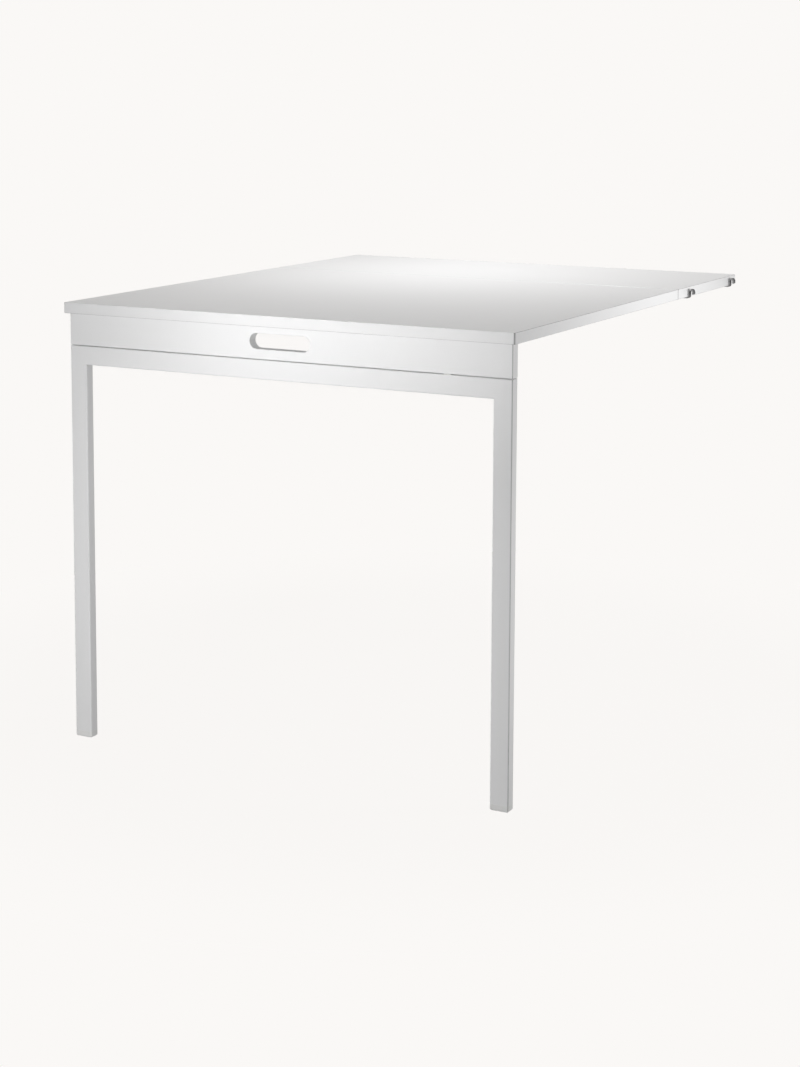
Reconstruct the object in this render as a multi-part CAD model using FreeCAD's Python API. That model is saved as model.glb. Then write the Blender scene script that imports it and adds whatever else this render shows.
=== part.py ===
"""Wall mounted drop leaf table.

A fixed shelf board hangs by four hooks on the rungs of two wall ladders. A leaf
is hinged to its front edge and carries an apron with a hand slot. A leg frame of
rectangular tube is hinged behind the apron: it folds up under the leaf, and the
leaf then drops in front of the shelf.

Millimetres, +Z up, -Y the front, +Y the wall. The origin is on the floor, below
the middle of the open table. Each sub-part is written to parts/NODE.step.
"""

import FreeCAD, Part
import math
import os

Vector = FreeCAD.Vector
AXIS_X = Vector(1, 0, 0)
AXIS_Y = Vector(0, 1, 0)
AXIS_Z = Vector(0, 0, 1)
ORIGIN = Vector(0, 0, 0)

# The table as a whole
table_width = 780.0
table_depth = 960.0
table_height = 705.0

# Boards of the top
board_thickness = 17.0
board_corner_radius = 3.0
board_edge_radius = 0.8
shelf_depth = 297.0
seam_gap = 1.0

# Apron under the leaf's front edge, with its hand slot
apron_height = 50.0
apron_thickness = 18.0
apron_setback = 8.0
apron_end_inset = 6.5
apron_edge_radius = 1.5
apron_rim_radius = 0.6
slot_length = 105.0
slot_height = 24.0
slot_drop = 11.0
slot_edge_radius = 1.2

# Dowels that join the apron to the leaf
dowel_radius = 4.0
dowel_in_leaf = 11.0
dowel_in_apron = 16.0
dowel_pairs = 3
dowel_end_inset = 34.0
dowel_slot_margin = 45.0
dowel_chamfer = 0.8

# Leg frame of rectangular tube
frame_gap = 1.2
tube_width = 30.0
tube_depth = 18.0
tube_wall = 1.5
tube_corner_radius = 2.2
tube_least_inner_radius = 0.3

# Glides that close the feet
glide_height = 10.0
glide_chamfer = 2.0
glide_plug_length = 16.0

# Pad between the rail and the apron
pad_width = 11.0
pad_from_end = 103.5
pad_face_inset = 1.0

# Ladder hooks, bent from flat strip
hook_strip_width = 11.0
hook_strip_thickness = 2.5
hook_rung_radius = 2.5
hook_top_drop = 3.75
hook_lip_length = 4.0
hook_foot_length = 42.0
hook_front_inset = 51.0
hook_back_inset = 35.0
hook_screw_count = 2
hook_screw_tip_margin = 8.0
hook_screw_root_margin = 18.0

# Hinges of the leaf
leaf_hinge_length = 70.0
leaf_hinge_reach = 36.0
leaf_hinge_plate = 3.0
leaf_hinge_pin_radius = 3.5
leaf_hinge_knuckles = 5
leaf_hinge_screws = 3
leaf_hinge_end_inset = 140.0
leaf_hinge_count = 3

# Hinges of the leg frame
leg_hinge_length = 50.0
leg_hinge_reach = 24.0
leg_hinge_plate = 2.0
leg_hinge_pin_radius = 2.5
leg_hinge_knuckles = 3
leg_hinge_screws = 2
leg_hinge_end_inset = 150.0

# What every hinge has
hinge_corner_radius = 3.0
hinge_screw_margin = 10.0
pin_head_height = 1.2
pin_head_lip = 1.0

# Wood screws, and the screws that go into the tube's wall
wood_screw_radius = 1.9
wood_screw_length = 13.0
tube_screw_radius = 1.9
tube_screw_length = 8.0
screw_head_radius = 3.6
screw_head_height = 2.0
screw_head_edge = 0.7
screw_point_length = 2.5
screw_point_radius = 0.5
screw_recess_length = 3.6
screw_recess_width = 0.8
screw_recess_depth = 1.1

# Clearances
running_clearance = 0.05
screw_clearance = 0.05
plate_hole_clearance = 0.2
dowel_clearance = 0.05
dowel_end_room = 0.5
screw_end_room = 0.5
plug_clearance = 0.1
knuckle_gap = 0.4
barrel_clearance = 0.3
hook_bend_clearance = 0.2

# A cutter is this many times as long as what it cuts through
cutter_reach = 3

# How near two places have to be to count as one
tolerance = 1e-6
curve_tolerance = 1e-3

# Places that follow from the sizes above
front_y = -table_depth / 2
wall_y = table_depth / 2
half_width = table_width / 2
leaf_depth = table_depth - shelf_depth - seam_gap
leaf_back_y = front_y + leaf_depth
shelf_front_y = wall_y - shelf_depth
seam_y = (leaf_back_y + shelf_front_y) / 2
underside_z = table_height - board_thickness
apron_half_width = half_width - apron_end_inset
apron_front_y = front_y + apron_setback
apron_back_y = apron_front_y + apron_thickness
apron_bottom_z = underside_z - apron_height
frame_top_z = apron_bottom_z - frame_gap
frame_half_width = apron_half_width
frame_front_y = apron_front_y
frame_back_y = frame_front_y + tube_depth
slot_center_z = underside_z - slot_drop - slot_height / 2


def box(low, high):
    """A box between two opposite corners."""
    size = high - low
    return Part.makeBox(size.x, size.y, size.z, low)


def vertical_edges(solid):
    """The straight edges of a solid that run along Z."""
    return [e for e in solid.Edges if runs_along(e, AXIS_Z)]


def runs_along(edge, direction):
    """Whether an edge is a straight line parallel to a direction."""
    if len(edge.Vertexes) != 2:
        return False
    span = edge.Vertexes[1].Point - edge.Vertexes[0].Point
    if span.Length < tolerance or not isinstance(edge.Curve, Part.Line):
        return False
    return abs(span.normalize().dot(direction)) > 1 - tolerance


def rounded_rectangle(width, depth, radius):
    """A face in the XY plane, centred on the origin, with rounded corners."""
    blank = box(Vector(-width / 2, -depth / 2, 0), Vector(width / 2, depth / 2, 1))
    blank = blank.makeFillet(radius, vertical_edges(blank))
    return [f for f in blank.Faces if abs(f.CenterOfMass.z) < tolerance][0]


def joined(solids):
    """Several solids of one kind as one shape."""
    return Part.makeCompound(solids)


def turned(shape, angle, move):
    """A copy turned about the X axis through the origin, then moved."""
    copy = shape.copy()
    copy.rotate(ORIGIN, AXIS_X, angle)
    copy.translate(move)
    return copy


def mirrored(shape):
    """A copy mirrored from right to left."""
    return shape.mirror(ORIGIN, AXIS_X)


def save(name, shape):
    """Write one sub-part."""
    shape.exportStep("parts/" + name + ".step")


def evenly(first, last, count):
    """Places from first to last, or the middle where there is only one."""
    if count == 1:
        return [(first + last) / 2]
    step = (last - first) / (count - 1)
    return [first + step * i for i in range(count)]


# ---- Screws ----


def screw(radius, length):
    """A pan head screw that points along +Z, with its seat at the origin."""
    shank_length = length - screw_point_length
    shank = Part.makeCylinder(radius, shank_length)
    tip_base = Vector(0, 0, shank_length)
    tip = Part.makeCone(radius, screw_point_radius, screw_point_length, tip_base)
    head_base = Vector(0, 0, -screw_head_height)
    head = Part.makeCylinder(screw_head_radius, screw_head_height, head_base)
    rim = [e for e in head.Edges if abs(e.BoundBox.ZMax + screw_head_height) < tolerance]
    head = head.makeFillet(screw_head_edge, rim)
    solid = shank.fuse(tip).fuse(head)
    for turn in (0, 90):
        slot = box(
            Vector(-screw_recess_length / 2, -screw_recess_width / 2, -screw_head_height),
            Vector(
                screw_recess_length / 2,
                screw_recess_width / 2,
                screw_recess_depth - screw_head_height,
            ),
        )
        slot.rotate(ORIGIN, AXIS_Z, turn)
        solid = solid.cut(slot)
    return solid.removeSplitter()


def pilot(radius, length):
    """The hole for such a screw, from its seat."""
    return Part.makeCylinder(radius + screw_clearance, length + screw_end_room)


def screw_group(points, radius, length):
    """Screws at several seats."""
    screws = []
    for point in points:
        one = screw(radius, length)
        one.translate(point)
        screws.append(one)
    return joined(screws)


def pilot_group(points, radius, length):
    """The holes for screws at several seats."""
    holes = []
    for point in points:
        one = pilot(radius, length)
        one.translate(point)
        holes.append(one)
    return joined(holes)


# ---- Hinges ----


class Hinge:
    """A butt hinge with its pin on the X axis, for a mounting face above it.

    The fixed plate reaches out along +Y and the moving plate along -Y. Knuckles
    alternate along the pin, and those at both ends belong to the fixed plate.
    """

    def __init__(self, length, reach, plate, pin_radius, knuckles, screws):
        self.length = length
        self.reach = reach
        self.plate = plate
        self.pin_radius = pin_radius
        self.knuckles = knuckles
        self.screws = screws
        self.barrel_radius = pin_radius + plate
        self.drop = self.barrel_radius + barrel_clearance
        self.plate_start = self.barrel_radius + knuckle_gap
        self.seat_height = self.drop - plate

    def screw_points(self, side):
        """The seats of one plate's screws; side is 1 for the fixed plate, else -1."""
        middle = side * (self.plate_start + self.reach) / 2
        end = self.length / 2 - hinge_screw_margin
        return [Vector(x, middle, self.seat_height) for x in evenly(-end, end, self.screws)]

    def one_plate(self, first_knuckle, hole_radius):
        """The plate that reaches along +Y, with every second knuckle from the first."""
        low = Vector(-self.length / 2, self.plate_start, self.seat_height)
        high = Vector(self.length / 2, self.reach, self.drop)
        solid = box(low, high)
        tips = vertical_edges(solid)
        outer = [e for e in tips if e.CenterOfMass.y > self.reach - tolerance]
        solid = solid.makeFillet(hinge_corner_radius, outer)
        pitch = self.length / self.knuckles
        for index in range(first_knuckle, self.knuckles, 2):
            start = -self.length / 2 + pitch * index
            stop = start + pitch
            if index > 0:
                start += knuckle_gap / 2
            if index < self.knuckles - 1:
                stop -= knuckle_gap / 2
            tongue = box(
                Vector(start, 0, self.seat_height),
                Vector(stop, self.plate_start, self.drop),
            )
            barrel = Part.makeCylinder(
                self.barrel_radius, stop - start, Vector(start, 0, 0), AXIS_X
            )
            solid = solid.fuse(tongue).fuse(barrel)
        bore_start = Vector(-self.length, 0, 0)
        bore_radius = self.pin_radius + running_clearance
        bore = Part.makeCylinder(bore_radius, self.length * 2, bore_start, AXIS_X)
        solid = solid.cut(bore)
        for point in self.screw_points(1):
            start = point - Vector(0, 0, self.plate)
            hole = Part.makeCylinder(hole_radius, self.plate * cutter_reach, start)
            solid = solid.cut(hole)
        return solid.removeSplitter()

    def fixed_plate(self, screw_radius):
        """The plate along +Y."""
        return self.one_plate(0, screw_radius + plate_hole_clearance)

    def moving_plate(self, screw_radius):
        """The plate along -Y."""
        solid = self.one_plate(1, screw_radius + plate_hole_clearance)
        return solid.mirror(ORIGIN, AXIS_Y)

    def pin(self):
        """The pin, with a low head on each end."""
        solid = Part.makeCylinder(
            self.pin_radius, self.length, Vector(-self.length / 2, 0, 0), AXIS_X
        )
        head_radius = self.pin_radius + pin_head_lip
        for start in (-self.length / 2 - pin_head_height, self.length / 2):
            head = Part.makeCylinder(head_radius, pin_head_height, Vector(start, 0, 0), AXIS_X)
            solid = solid.fuse(head)
        return solid.removeSplitter()


leaf_hinge = Hinge(
    leaf_hinge_length,
    leaf_hinge_reach,
    leaf_hinge_plate,
    leaf_hinge_pin_radius,
    leaf_hinge_knuckles,
    leaf_hinge_screws,
)
leg_hinge = Hinge(
    leg_hinge_length,
    leg_hinge_reach,
    leg_hinge_plate,
    leg_hinge_pin_radius,
    leg_hinge_knuckles,
    leg_hinge_screws,
)

# The leaf's pins lie below the seam, the leg frame's behind the gap under the apron.
leaf_pin_z = underside_z - leaf_hinge.drop
leg_pin_y = apron_back_y + leg_hinge.drop
leg_pin_z = (apron_bottom_z + frame_top_z) / 2
leaf_hinge_turn = 0.0
leg_hinge_turn = 90.0


def leaf_hinge_places():
    """The middle of each leaf hinge's pin."""
    outer = half_width - leaf_hinge_end_inset
    return [Vector(x, seam_y, leaf_pin_z) for x in evenly(-outer, outer, leaf_hinge_count)]


def leg_hinge_places():
    """The middle of each leg hinge's pin."""
    outer = apron_half_width - leg_hinge_end_inset
    return [Vector(x, leg_pin_y, leg_pin_z) for x in (-outer, outer)]


def hinge_screws(hinge, places, turn, side, radius, length):
    """The screws of one side of several hinges."""
    group = screw_group(hinge.screw_points(side), radius, length)
    placed = [turned(group, turn, place) for place in places]
    return joined([one for part in placed for one in part.Solids])


def hinge_pilots(hinge, places, turn, side, radius, length):
    """The holes for those screws."""
    group = pilot_group(hinge.screw_points(side), radius, length)
    placed = [turned(group, turn, place) for place in places]
    return joined([one for part in placed for one in part.Solids])


# ---- Ladder hooks ----


def hook_screw_points():
    """The seats of one right hand hook's screws, with the board's end at x = 0."""
    first = -hook_foot_length + hook_screw_tip_margin
    last = -hook_screw_root_margin
    places = evenly(first, last, hook_screw_count)
    return [Vector(x, 0, -hook_strip_thickness) for x in places]


def hook_profile():
    """The hook's outline in the XZ plane, from the board's lower end edge.

    The strip runs out under the board, turns up along its end, goes over the rung
    and comes down again in a short lip.
    """
    thick = hook_strip_thickness
    inner = hook_rung_radius
    outer = inner + thick
    bend = board_edge_radius - hook_bend_clearance
    round_z = board_thickness - hook_top_drop - outer
    round_x = thick + inner
    lip_z = round_z - hook_lip_length
    outer_bend = bend + thick
    slant = math.sqrt(0.5)
    bend_x = -bend
    bend_z = bend

    def point(x, z):
        return Vector(x, 0, z)

    foot_top_end = point(-hook_foot_length, 0)
    foot_top = point(bend_x, 0)
    inner_bend_mid = point(bend_x + bend * slant, bend_z - bend * slant)
    upright_inner_low = point(0, bend_z)
    upright_inner_high = point(0, round_z)
    over_outer_mid = point(round_x, round_z + outer)
    lip_outer_high = point(round_x + outer, round_z)
    lip_outer_low = point(round_x + outer, lip_z)
    lip_inner_low = point(round_x + inner, lip_z)
    lip_inner_high = point(round_x + inner, round_z)
    over_inner_mid = point(round_x, round_z + inner)
    upright_outer_high = point(thick, round_z)
    upright_outer_low = point(thick, bend_z)
    outer_bend_mid = point(bend_x + outer_bend * slant, bend_z - outer_bend * slant)
    foot_low = point(bend_x, -thick)
    foot_low_end = point(-hook_foot_length, -thick)
    edges = [
        Part.LineSegment(foot_top_end, foot_top).toShape(),
        Part.Arc(foot_top, inner_bend_mid, upright_inner_low).toShape(),
        Part.LineSegment(upright_inner_low, upright_inner_high).toShape(),
        Part.Arc(upright_inner_high, over_outer_mid, lip_outer_high).toShape(),
        Part.LineSegment(lip_outer_high, lip_outer_low).toShape(),
        Part.LineSegment(lip_outer_low, lip_inner_low).toShape(),
        Part.LineSegment(lip_inner_low, lip_inner_high).toShape(),
        Part.Arc(lip_inner_high, over_inner_mid, upright_outer_high).toShape(),
        Part.LineSegment(upright_outer_high, upright_outer_low).toShape(),
        Part.Arc(upright_outer_low, outer_bend_mid, foot_low).toShape(),
        Part.LineSegment(foot_low, foot_low_end).toShape(),
        Part.LineSegment(foot_low_end, foot_top_end).toShape(),
    ]
    return Part.Face(Part.Wire(edges))


def right_hook():
    """One right hand hook, centred on y = 0, with the board's end at x = 0."""
    face = hook_profile()
    face.translate(Vector(0, -hook_strip_width / 2, 0))
    solid = face.extrude(Vector(0, hook_strip_width, 0))
    for point in hook_screw_points():
        radius = wood_screw_radius + plate_hole_clearance
        start = point - Vector(0, 0, hook_strip_thickness)
        hole = Part.makeCylinder(radius, hook_strip_thickness * cutter_reach, start)
        solid = solid.cut(hole)
    return solid


def hook_places():
    """Where the right hand hooks' frames are, by name."""
    front = Vector(half_width, shelf_front_y + hook_front_inset, underside_z)
    back = Vector(half_width, wall_y - hook_back_inset, underside_z)
    return {"front": front, "back": back}


def both_sides(shape):
    """The shape and its mirror image, as one list of solids."""
    return shape.Solids + mirrored(shape).Solids


def placed_on_hooks(shape):
    """The shape at all four hooks, as one list of solids."""
    solids = []
    for place in hook_places().values():
        solids += both_sides(turned(shape, 0, place))
    return solids


# ---- Boards ----


def board(low_y, high_y, rounded_y):
    """A board of the top, with rounded corners at the end away from the seam."""
    solid = box(
        Vector(-half_width, low_y, underside_z),
        Vector(half_width, high_y, table_height),
    )
    upright = vertical_edges(solid)
    corners = [e for e in upright if abs(e.CenterOfMass.y - rounded_y) < tolerance]
    solid = solid.makeFillet(board_corner_radius, corners)
    levels = (underside_z, table_height)
    flat = [e for e in solid.Edges if e.BoundBox.ZLength < tolerance]
    rims = [e for e in flat if min(abs(e.CenterOfMass.z - z) for z in levels) < tolerance]
    return solid.makeFillet(board_edge_radius, rims)


def shelf_board():
    """The fixed board, with the holes for the hooks and the leaf's hinges."""
    solid = board(shelf_front_y, wall_y, wall_y)
    pilots = pilot_group(hook_screw_points(), wood_screw_radius, wood_screw_length)
    solid = solid.cut(joined(placed_on_hooks(pilots)))
    hinge_holes = hinge_pilots(
        leaf_hinge,
        leaf_hinge_places(),
        leaf_hinge_turn,
        1,
        wood_screw_radius,
        wood_screw_length,
    )
    return solid.cut(hinge_holes)


def leaf_board():
    """The hinged board, with the holes for its hinges and the apron's dowels."""
    solid = board(front_y, leaf_back_y, front_y)
    hinge_holes = hinge_pilots(
        leaf_hinge,
        leaf_hinge_places(),
        leaf_hinge_turn,
        -1,
        wood_screw_radius,
        wood_screw_length,
    )
    return solid.cut(hinge_holes).cut(dowel_holes())


# ---- Apron ----


def dowel_places():
    """Where the dowels cross the joint between apron and leaf."""
    middle_y = (apron_front_y + apron_back_y) / 2
    outer = apron_half_width - dowel_end_inset
    inner = slot_length / 2 + dowel_slot_margin
    right = evenly(inner, outer, dowel_pairs)
    left = [-x for x in right]
    return [Vector(x, middle_y, underside_z) for x in left + right]


def dowel():
    """One dowel, with chamfered ends, around the joint at the origin."""
    length = dowel_in_apron + dowel_in_leaf
    solid = Part.makeCylinder(dowel_radius, length, Vector(0, 0, -dowel_in_apron))
    rims = [e for e in solid.Edges if e.BoundBox.ZLength < tolerance]
    return solid.makeChamfer(dowel_chamfer, rims)


def dowel_holes():
    """The holes for the dowels, through the joint."""
    holes = []
    for place in dowel_places():
        base = place - Vector(0, 0, dowel_in_apron + dowel_end_room)
        length = dowel_in_apron + dowel_in_leaf + dowel_end_room * 2
        holes.append(Part.makeCylinder(dowel_radius + dowel_clearance, length, base))
    return joined(holes)


def hand_slot():
    """The slot's space, round at both ends, running out of both faces."""
    radius = slot_height / 2
    reach = slot_length / 2 - radius
    start_y = apron_front_y - apron_thickness
    run = apron_thickness * cutter_reach
    solid = box(
        Vector(-reach, start_y, slot_center_z - radius),
        Vector(reach, start_y + run, slot_center_z + radius),
    )
    for x in (-reach, reach):
        end = Part.makeCylinder(radius, run, Vector(x, start_y, slot_center_z), AXIS_Y)
        solid = solid.fuse(end)
    return solid.removeSplitter()


def slot_rims(solid):
    """The edges of the hand slot on the apron's front and back faces."""
    faces_y = (apron_front_y, apron_back_y)
    flat = [e for e in solid.Edges if e.BoundBox.YLength < tolerance]
    on_faces = [e for e in flat if min(abs(e.CenterOfMass.y - y) for y in faces_y) < tolerance]
    reach = slot_length / 2 + curve_tolerance
    left_in = [e for e in on_faces if e.BoundBox.XMin > -reach]
    return [e for e in left_in if e.BoundBox.XMax < reach]


def apron_board():
    """The apron, with its hand slot, dowel holes and leg hinge holes."""
    solid = box(
        Vector(-apron_half_width, apron_front_y, apron_bottom_z),
        Vector(apron_half_width, apron_back_y, underside_z),
    )
    solid = solid.makeFillet(apron_edge_radius, vertical_edges(solid))
    lower = [e for e in solid.Edges if abs(e.BoundBox.ZMax - apron_bottom_z) < tolerance]
    solid = solid.makeFillet(apron_rim_radius, lower)
    solid = solid.cut(hand_slot())
    solid = solid.makeFillet(slot_edge_radius, slot_rims(solid))
    hinge_holes = hinge_pilots(
        leg_hinge,
        leg_hinge_places(),
        leg_hinge_turn,
        1,
        wood_screw_radius,
        wood_screw_length,
    )
    return solid.cut(dowel_holes()).cut(hinge_holes)


# ---- Leg frame ----


def tube_inner_radius():
    """The radius of the corners inside the tube."""
    return max(tube_corner_radius - tube_wall, tube_least_inner_radius)


def tube_along_z(length):
    """A rectangular tube standing on the origin, centred on it."""
    outer = rounded_rectangle(tube_width, tube_depth, tube_corner_radius)
    inner = rounded_rectangle(
        tube_width - tube_wall * 2,
        tube_depth - tube_wall * 2,
        tube_inner_radius(),
    )
    run = Vector(0, 0, length)
    return outer.extrude(run).cut(inner.extrude(run))


def mitre_cutter(side):
    """The space outside the mitre of one corner, as seen from the rail; side is 1 or -1.

    It is bounded by the plane from the frame's outer top corner down to the inner one.
    """
    corner_x = side * frame_half_width
    reach = frame_top_z
    start_y = frame_front_y - tube_depth
    points = [
        Vector(corner_x + side * reach, start_y, frame_top_z + reach),
        Vector(corner_x - side * reach, start_y, frame_top_z - reach),
        Vector(corner_x + side * reach, start_y, frame_top_z - reach),
    ]
    face = Part.Face(Part.makePolygon(points + points[:1]))
    return face.extrude(Vector(0, tube_depth * cutter_reach, 0))


def frame_middle_y():
    """The middle of the frame's tube, front to back."""
    return (frame_front_y + frame_back_y) / 2


def leg_post(side):
    """One upright, from its glide to the mitre under the rail's end."""
    solid = tube_along_z(frame_top_z - glide_height)
    middle_x = side * (frame_half_width - tube_width / 2)
    solid.translate(Vector(middle_x, frame_middle_y(), glide_height))
    return solid.common(mitre_cutter(side))


def leg_rail():
    """The tube across the top of the frame, mitred at both ends."""
    solid = tube_along_z(frame_half_width * 2)
    solid.rotate(ORIGIN, AXIS_Y, 90)
    middle_z = frame_top_z - tube_width / 2
    solid.translate(Vector(-frame_half_width, frame_middle_y(), middle_z))
    for side in (-1, 1):
        solid = solid.cut(mitre_cutter(side))
    hinge_holes = hinge_pilots(
        leg_hinge,
        leg_hinge_places(),
        leg_hinge_turn,
        -1,
        tube_screw_radius,
        tube_screw_length,
    )
    return solid.cut(hinge_holes)


def foot_glide(side):
    """The foot under one upright: a chamfered block with a plug inside the tube."""
    block = rounded_rectangle(tube_width, tube_depth, tube_corner_radius)
    block = block.extrude(Vector(0, 0, glide_height))
    rims = [e for e in block.Edges if e.BoundBox.ZMax < tolerance]
    block = block.makeChamfer(glide_chamfer, rims)
    inset = (tube_wall + plug_clearance) * 2
    plug = rounded_rectangle(tube_width - inset, tube_depth - inset, tube_inner_radius())
    plug = plug.extrude(Vector(0, 0, glide_height + glide_plug_length))
    middle_x = side * (frame_half_width - tube_width / 2)
    lower = Vector(-tube_width, -tube_depth, 0)
    upper = Vector(tube_width, tube_depth, glide_height / 2)
    solid = block.fuse(plug.cut(box(lower, upper))).removeSplitter()
    solid.translate(Vector(middle_x, frame_middle_y(), 0))
    return solid


def gap_pad():
    """The pad on the rail that the apron rests on."""
    middle_x = apron_half_width - pad_from_end
    return box(
        Vector(middle_x - pad_width / 2, frame_front_y + pad_face_inset, frame_top_z),
        Vector(middle_x + pad_width / 2, frame_back_y - pad_face_inset, apron_bottom_z),
    )


# ---- All sub-parts ----


def write_top():
    """The two boards and the apron with its dowels."""
    save("shelf_board", shelf_board())
    save("leaf_board", leaf_board())
    save("apron_board", apron_board())
    dowels = []
    for place in dowel_places():
        dowels.append(turned(dowel(), 0, place))
    save("apron_dowels", joined(dowels))


def write_hooks():
    """The four hooks and their screws."""
    hook = right_hook()
    for name, place in hook_places().items():
        right = turned(hook, 0, place)
        save("hook_right_" + name, right)
        save("hook_left_" + name, mirrored(right))
    screws = screw_group(hook_screw_points(), wood_screw_radius, wood_screw_length)
    save("hook_screws", joined(placed_on_hooks(screws)))


def write_hinge_pieces(prefix, hinge, places, turn, names, moving_radius):
    """The plates and pins of several hinges."""
    fixed_name, moving_name = names
    for number, place in enumerate(places, start=1):
        fixed = turned(hinge.fixed_plate(wood_screw_radius), turn, place)
        moving = turned(hinge.moving_plate(moving_radius), turn, place)
        save(prefix + "_" + fixed_name + "_" + str(number), fixed)
        save(prefix + "_" + moving_name + "_" + str(number), moving)
        save(prefix + "_pin_" + str(number), turned(hinge.pin(), turn, place))


def write_leaf_hinges():
    """The hinges between shelf and leaf, with their screws."""
    places = leaf_hinge_places()
    turn = leaf_hinge_turn
    names = ("shelf_plate", "leaf_plate")
    write_hinge_pieces("leaf_hinge", leaf_hinge, places, turn, names, wood_screw_radius)
    radius = wood_screw_radius
    length = wood_screw_length
    shelf_side = hinge_screws(leaf_hinge, places, turn, 1, radius, length)
    leaf_side = hinge_screws(leaf_hinge, places, turn, -1, radius, length)
    save("leaf_hinge_shelf_screws", shelf_side)
    save("leaf_hinge_leaf_screws", leaf_side)


def write_leg_hinges():
    """The hinges between apron and leg frame, with their screws."""
    places = leg_hinge_places()
    turn = leg_hinge_turn
    names = ("apron_plate", "rail_plate")
    write_hinge_pieces("leg_hinge", leg_hinge, places, turn, names, tube_screw_radius)
    apron_side = hinge_screws(
        leg_hinge, places, turn, 1, wood_screw_radius, wood_screw_length
    )
    rail_side = hinge_screws(
        leg_hinge, places, turn, -1, tube_screw_radius, tube_screw_length
    )
    save("leg_hinge_apron_screws", apron_side)
    save("leg_hinge_rail_screws", rail_side)


def write_leg_frame():
    """The rail, the uprights, their glides and the pad."""
    save("leg_rail", leg_rail())
    for name, side in (("left", -1), ("right", 1)):
        save("leg_post_" + name, leg_post(side))
        save("foot_glide_" + name, foot_glide(side))
    save("gap_pad", gap_pad())


os.makedirs("parts", exist_ok=True)
write_top()
write_hooks()
write_leaf_hinges()
write_leg_hinges()
write_leg_frame()
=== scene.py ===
"""Looks of the wall mounted drop leaf table.

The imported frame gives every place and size, in metres. The classes below build
detailed pieces over it, each with its own finish, and set them in a small studio
with a pale floor, soft lamps and a camera.
"""

import logging
import math
from collections.abc import Callable, Iterable, Sequence
from dataclasses import dataclass, field, replace
from enum import Enum

import bmesh
import bpy
from bmesh.types import BMEdge, BMesh, BMFace, BMVert
from mathutils import Matrix, Vector


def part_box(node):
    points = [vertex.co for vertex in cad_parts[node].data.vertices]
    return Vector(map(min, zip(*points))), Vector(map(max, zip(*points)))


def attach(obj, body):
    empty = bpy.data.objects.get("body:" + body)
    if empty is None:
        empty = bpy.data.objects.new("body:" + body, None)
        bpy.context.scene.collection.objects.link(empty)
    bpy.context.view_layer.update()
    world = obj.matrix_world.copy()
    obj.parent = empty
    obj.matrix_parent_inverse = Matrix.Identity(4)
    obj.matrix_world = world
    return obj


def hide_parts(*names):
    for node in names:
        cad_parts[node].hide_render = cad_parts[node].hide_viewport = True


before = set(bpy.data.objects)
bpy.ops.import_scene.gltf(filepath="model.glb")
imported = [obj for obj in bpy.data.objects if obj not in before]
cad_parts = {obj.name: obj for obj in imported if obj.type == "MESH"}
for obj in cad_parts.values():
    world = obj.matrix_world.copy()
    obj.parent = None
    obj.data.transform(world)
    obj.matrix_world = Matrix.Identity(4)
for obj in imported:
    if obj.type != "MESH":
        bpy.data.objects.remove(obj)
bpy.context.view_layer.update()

log = logging.getLogger("drop_leaf_table")

AXIS_X = Vector((1.0, 0.0, 0.0))
AXIS_Y = Vector((0.0, 1.0, 0.0))
AXIS_Z = Vector((0.0, 0.0, 1.0))
ORIGIN = Vector((0.0, 0.0, 0.0))
Z_TO_X = Matrix.Rotation(math.pi / 2, 4, "Y")
SAME_PLACE = 1e-6
CORNER_TURN = math.radians(60.0)  # the faces beside a corner edge turn by more than this
STRAIGHT = 0.999  # a normal's part along the axis that it follows is more than this
MAINLY = 0.5  # a normal's part along the axis that it mainly follows is more than this
HARDLY = 0.1  # a normal's part along an axis that it crosses is less than this
EDGE_MIDDLE = math.sqrt(0.5)  # a normal's largest part, halfway round a rounded edge
NOISE_MEAN = 0.5
Colour = tuple[float, float, float]
Point = tuple[float, float, float]
Socket = bpy.types.NodeSocket


# ---- Names ----


class Body(Enum):
    """The bodies that the pieces ride on."""

    SHELF = "shelf"
    LEAF = "leaf"
    LEG_FRAME = "leg_frame"


class Slot(Enum):
    """The record's material slots."""

    WHITE_LACQUER = "white_lacquer"
    WHITE_POWDER_COAT = "white_powder_coat"
    WHITE_PLASTIC = "white_plastic"
    PALE_PAD = "pale_pad"
    BEECH_DOWEL = "beech_dowel"
    SCREW_STEEL = "screw_steel"
    DARK_STEEL = "dark_steel"
    HINGE_STEEL = "hinge_steel"


class Side(Enum):
    """The two ends of the table, as seen from the front."""

    LEFT = -1
    RIGHT = 1

    @property
    def word(self) -> str:
        """The side's name, as nodes are named."""
        return self.name.lower()


class Plate(Enum):
    """The two plates of a hinge and the way each reaches from the pin."""

    FIXED = 1
    MOVING = -1


# ---- Places ----


@dataclass(frozen=True)
class Extent:
    """An upright box between its lowest and its highest corner, in metres."""

    low: Vector
    high: Vector

    @classmethod
    def of_node(cls, node: str) -> "Extent":
        """The extent of one node of the frame at rest."""
        return cls(*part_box(node))

    @property
    def size(self) -> Vector:
        """The lengths of the three sides."""
        return self.high - self.low

    @property
    def middle(self) -> Vector:
        """The point halfway between the corners."""
        return (self.low + self.high) / 2

    @property
    def foot(self) -> Vector:
        """The middle of the lower face."""
        return Vector((self.middle.x, self.middle.y, self.low.z))


def evenly(first: float, last: float, count: int) -> list[float]:
    """Places from first to last, both included.

    Args:
        first: The first place.
        last: The last place.
        count: How many places there are, two or more.

    Returns:
        The places in order.
    """
    step = (last - first) / (count - 1)
    return [first + step * index for index in range(count)]


# ---- Mesh work ----


def block(extent: Extent) -> BMesh:
    """A solid block that fills an extent.

    Args:
        extent: The extent.

    Returns:
        The block.
    """
    bm = bmesh.new()
    place = Matrix.Translation(extent.middle) @ Matrix.Diagonal((*extent.size, 1.0))
    bmesh.ops.create_cube(bm, size=1.0, matrix=place)
    return bm


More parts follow.
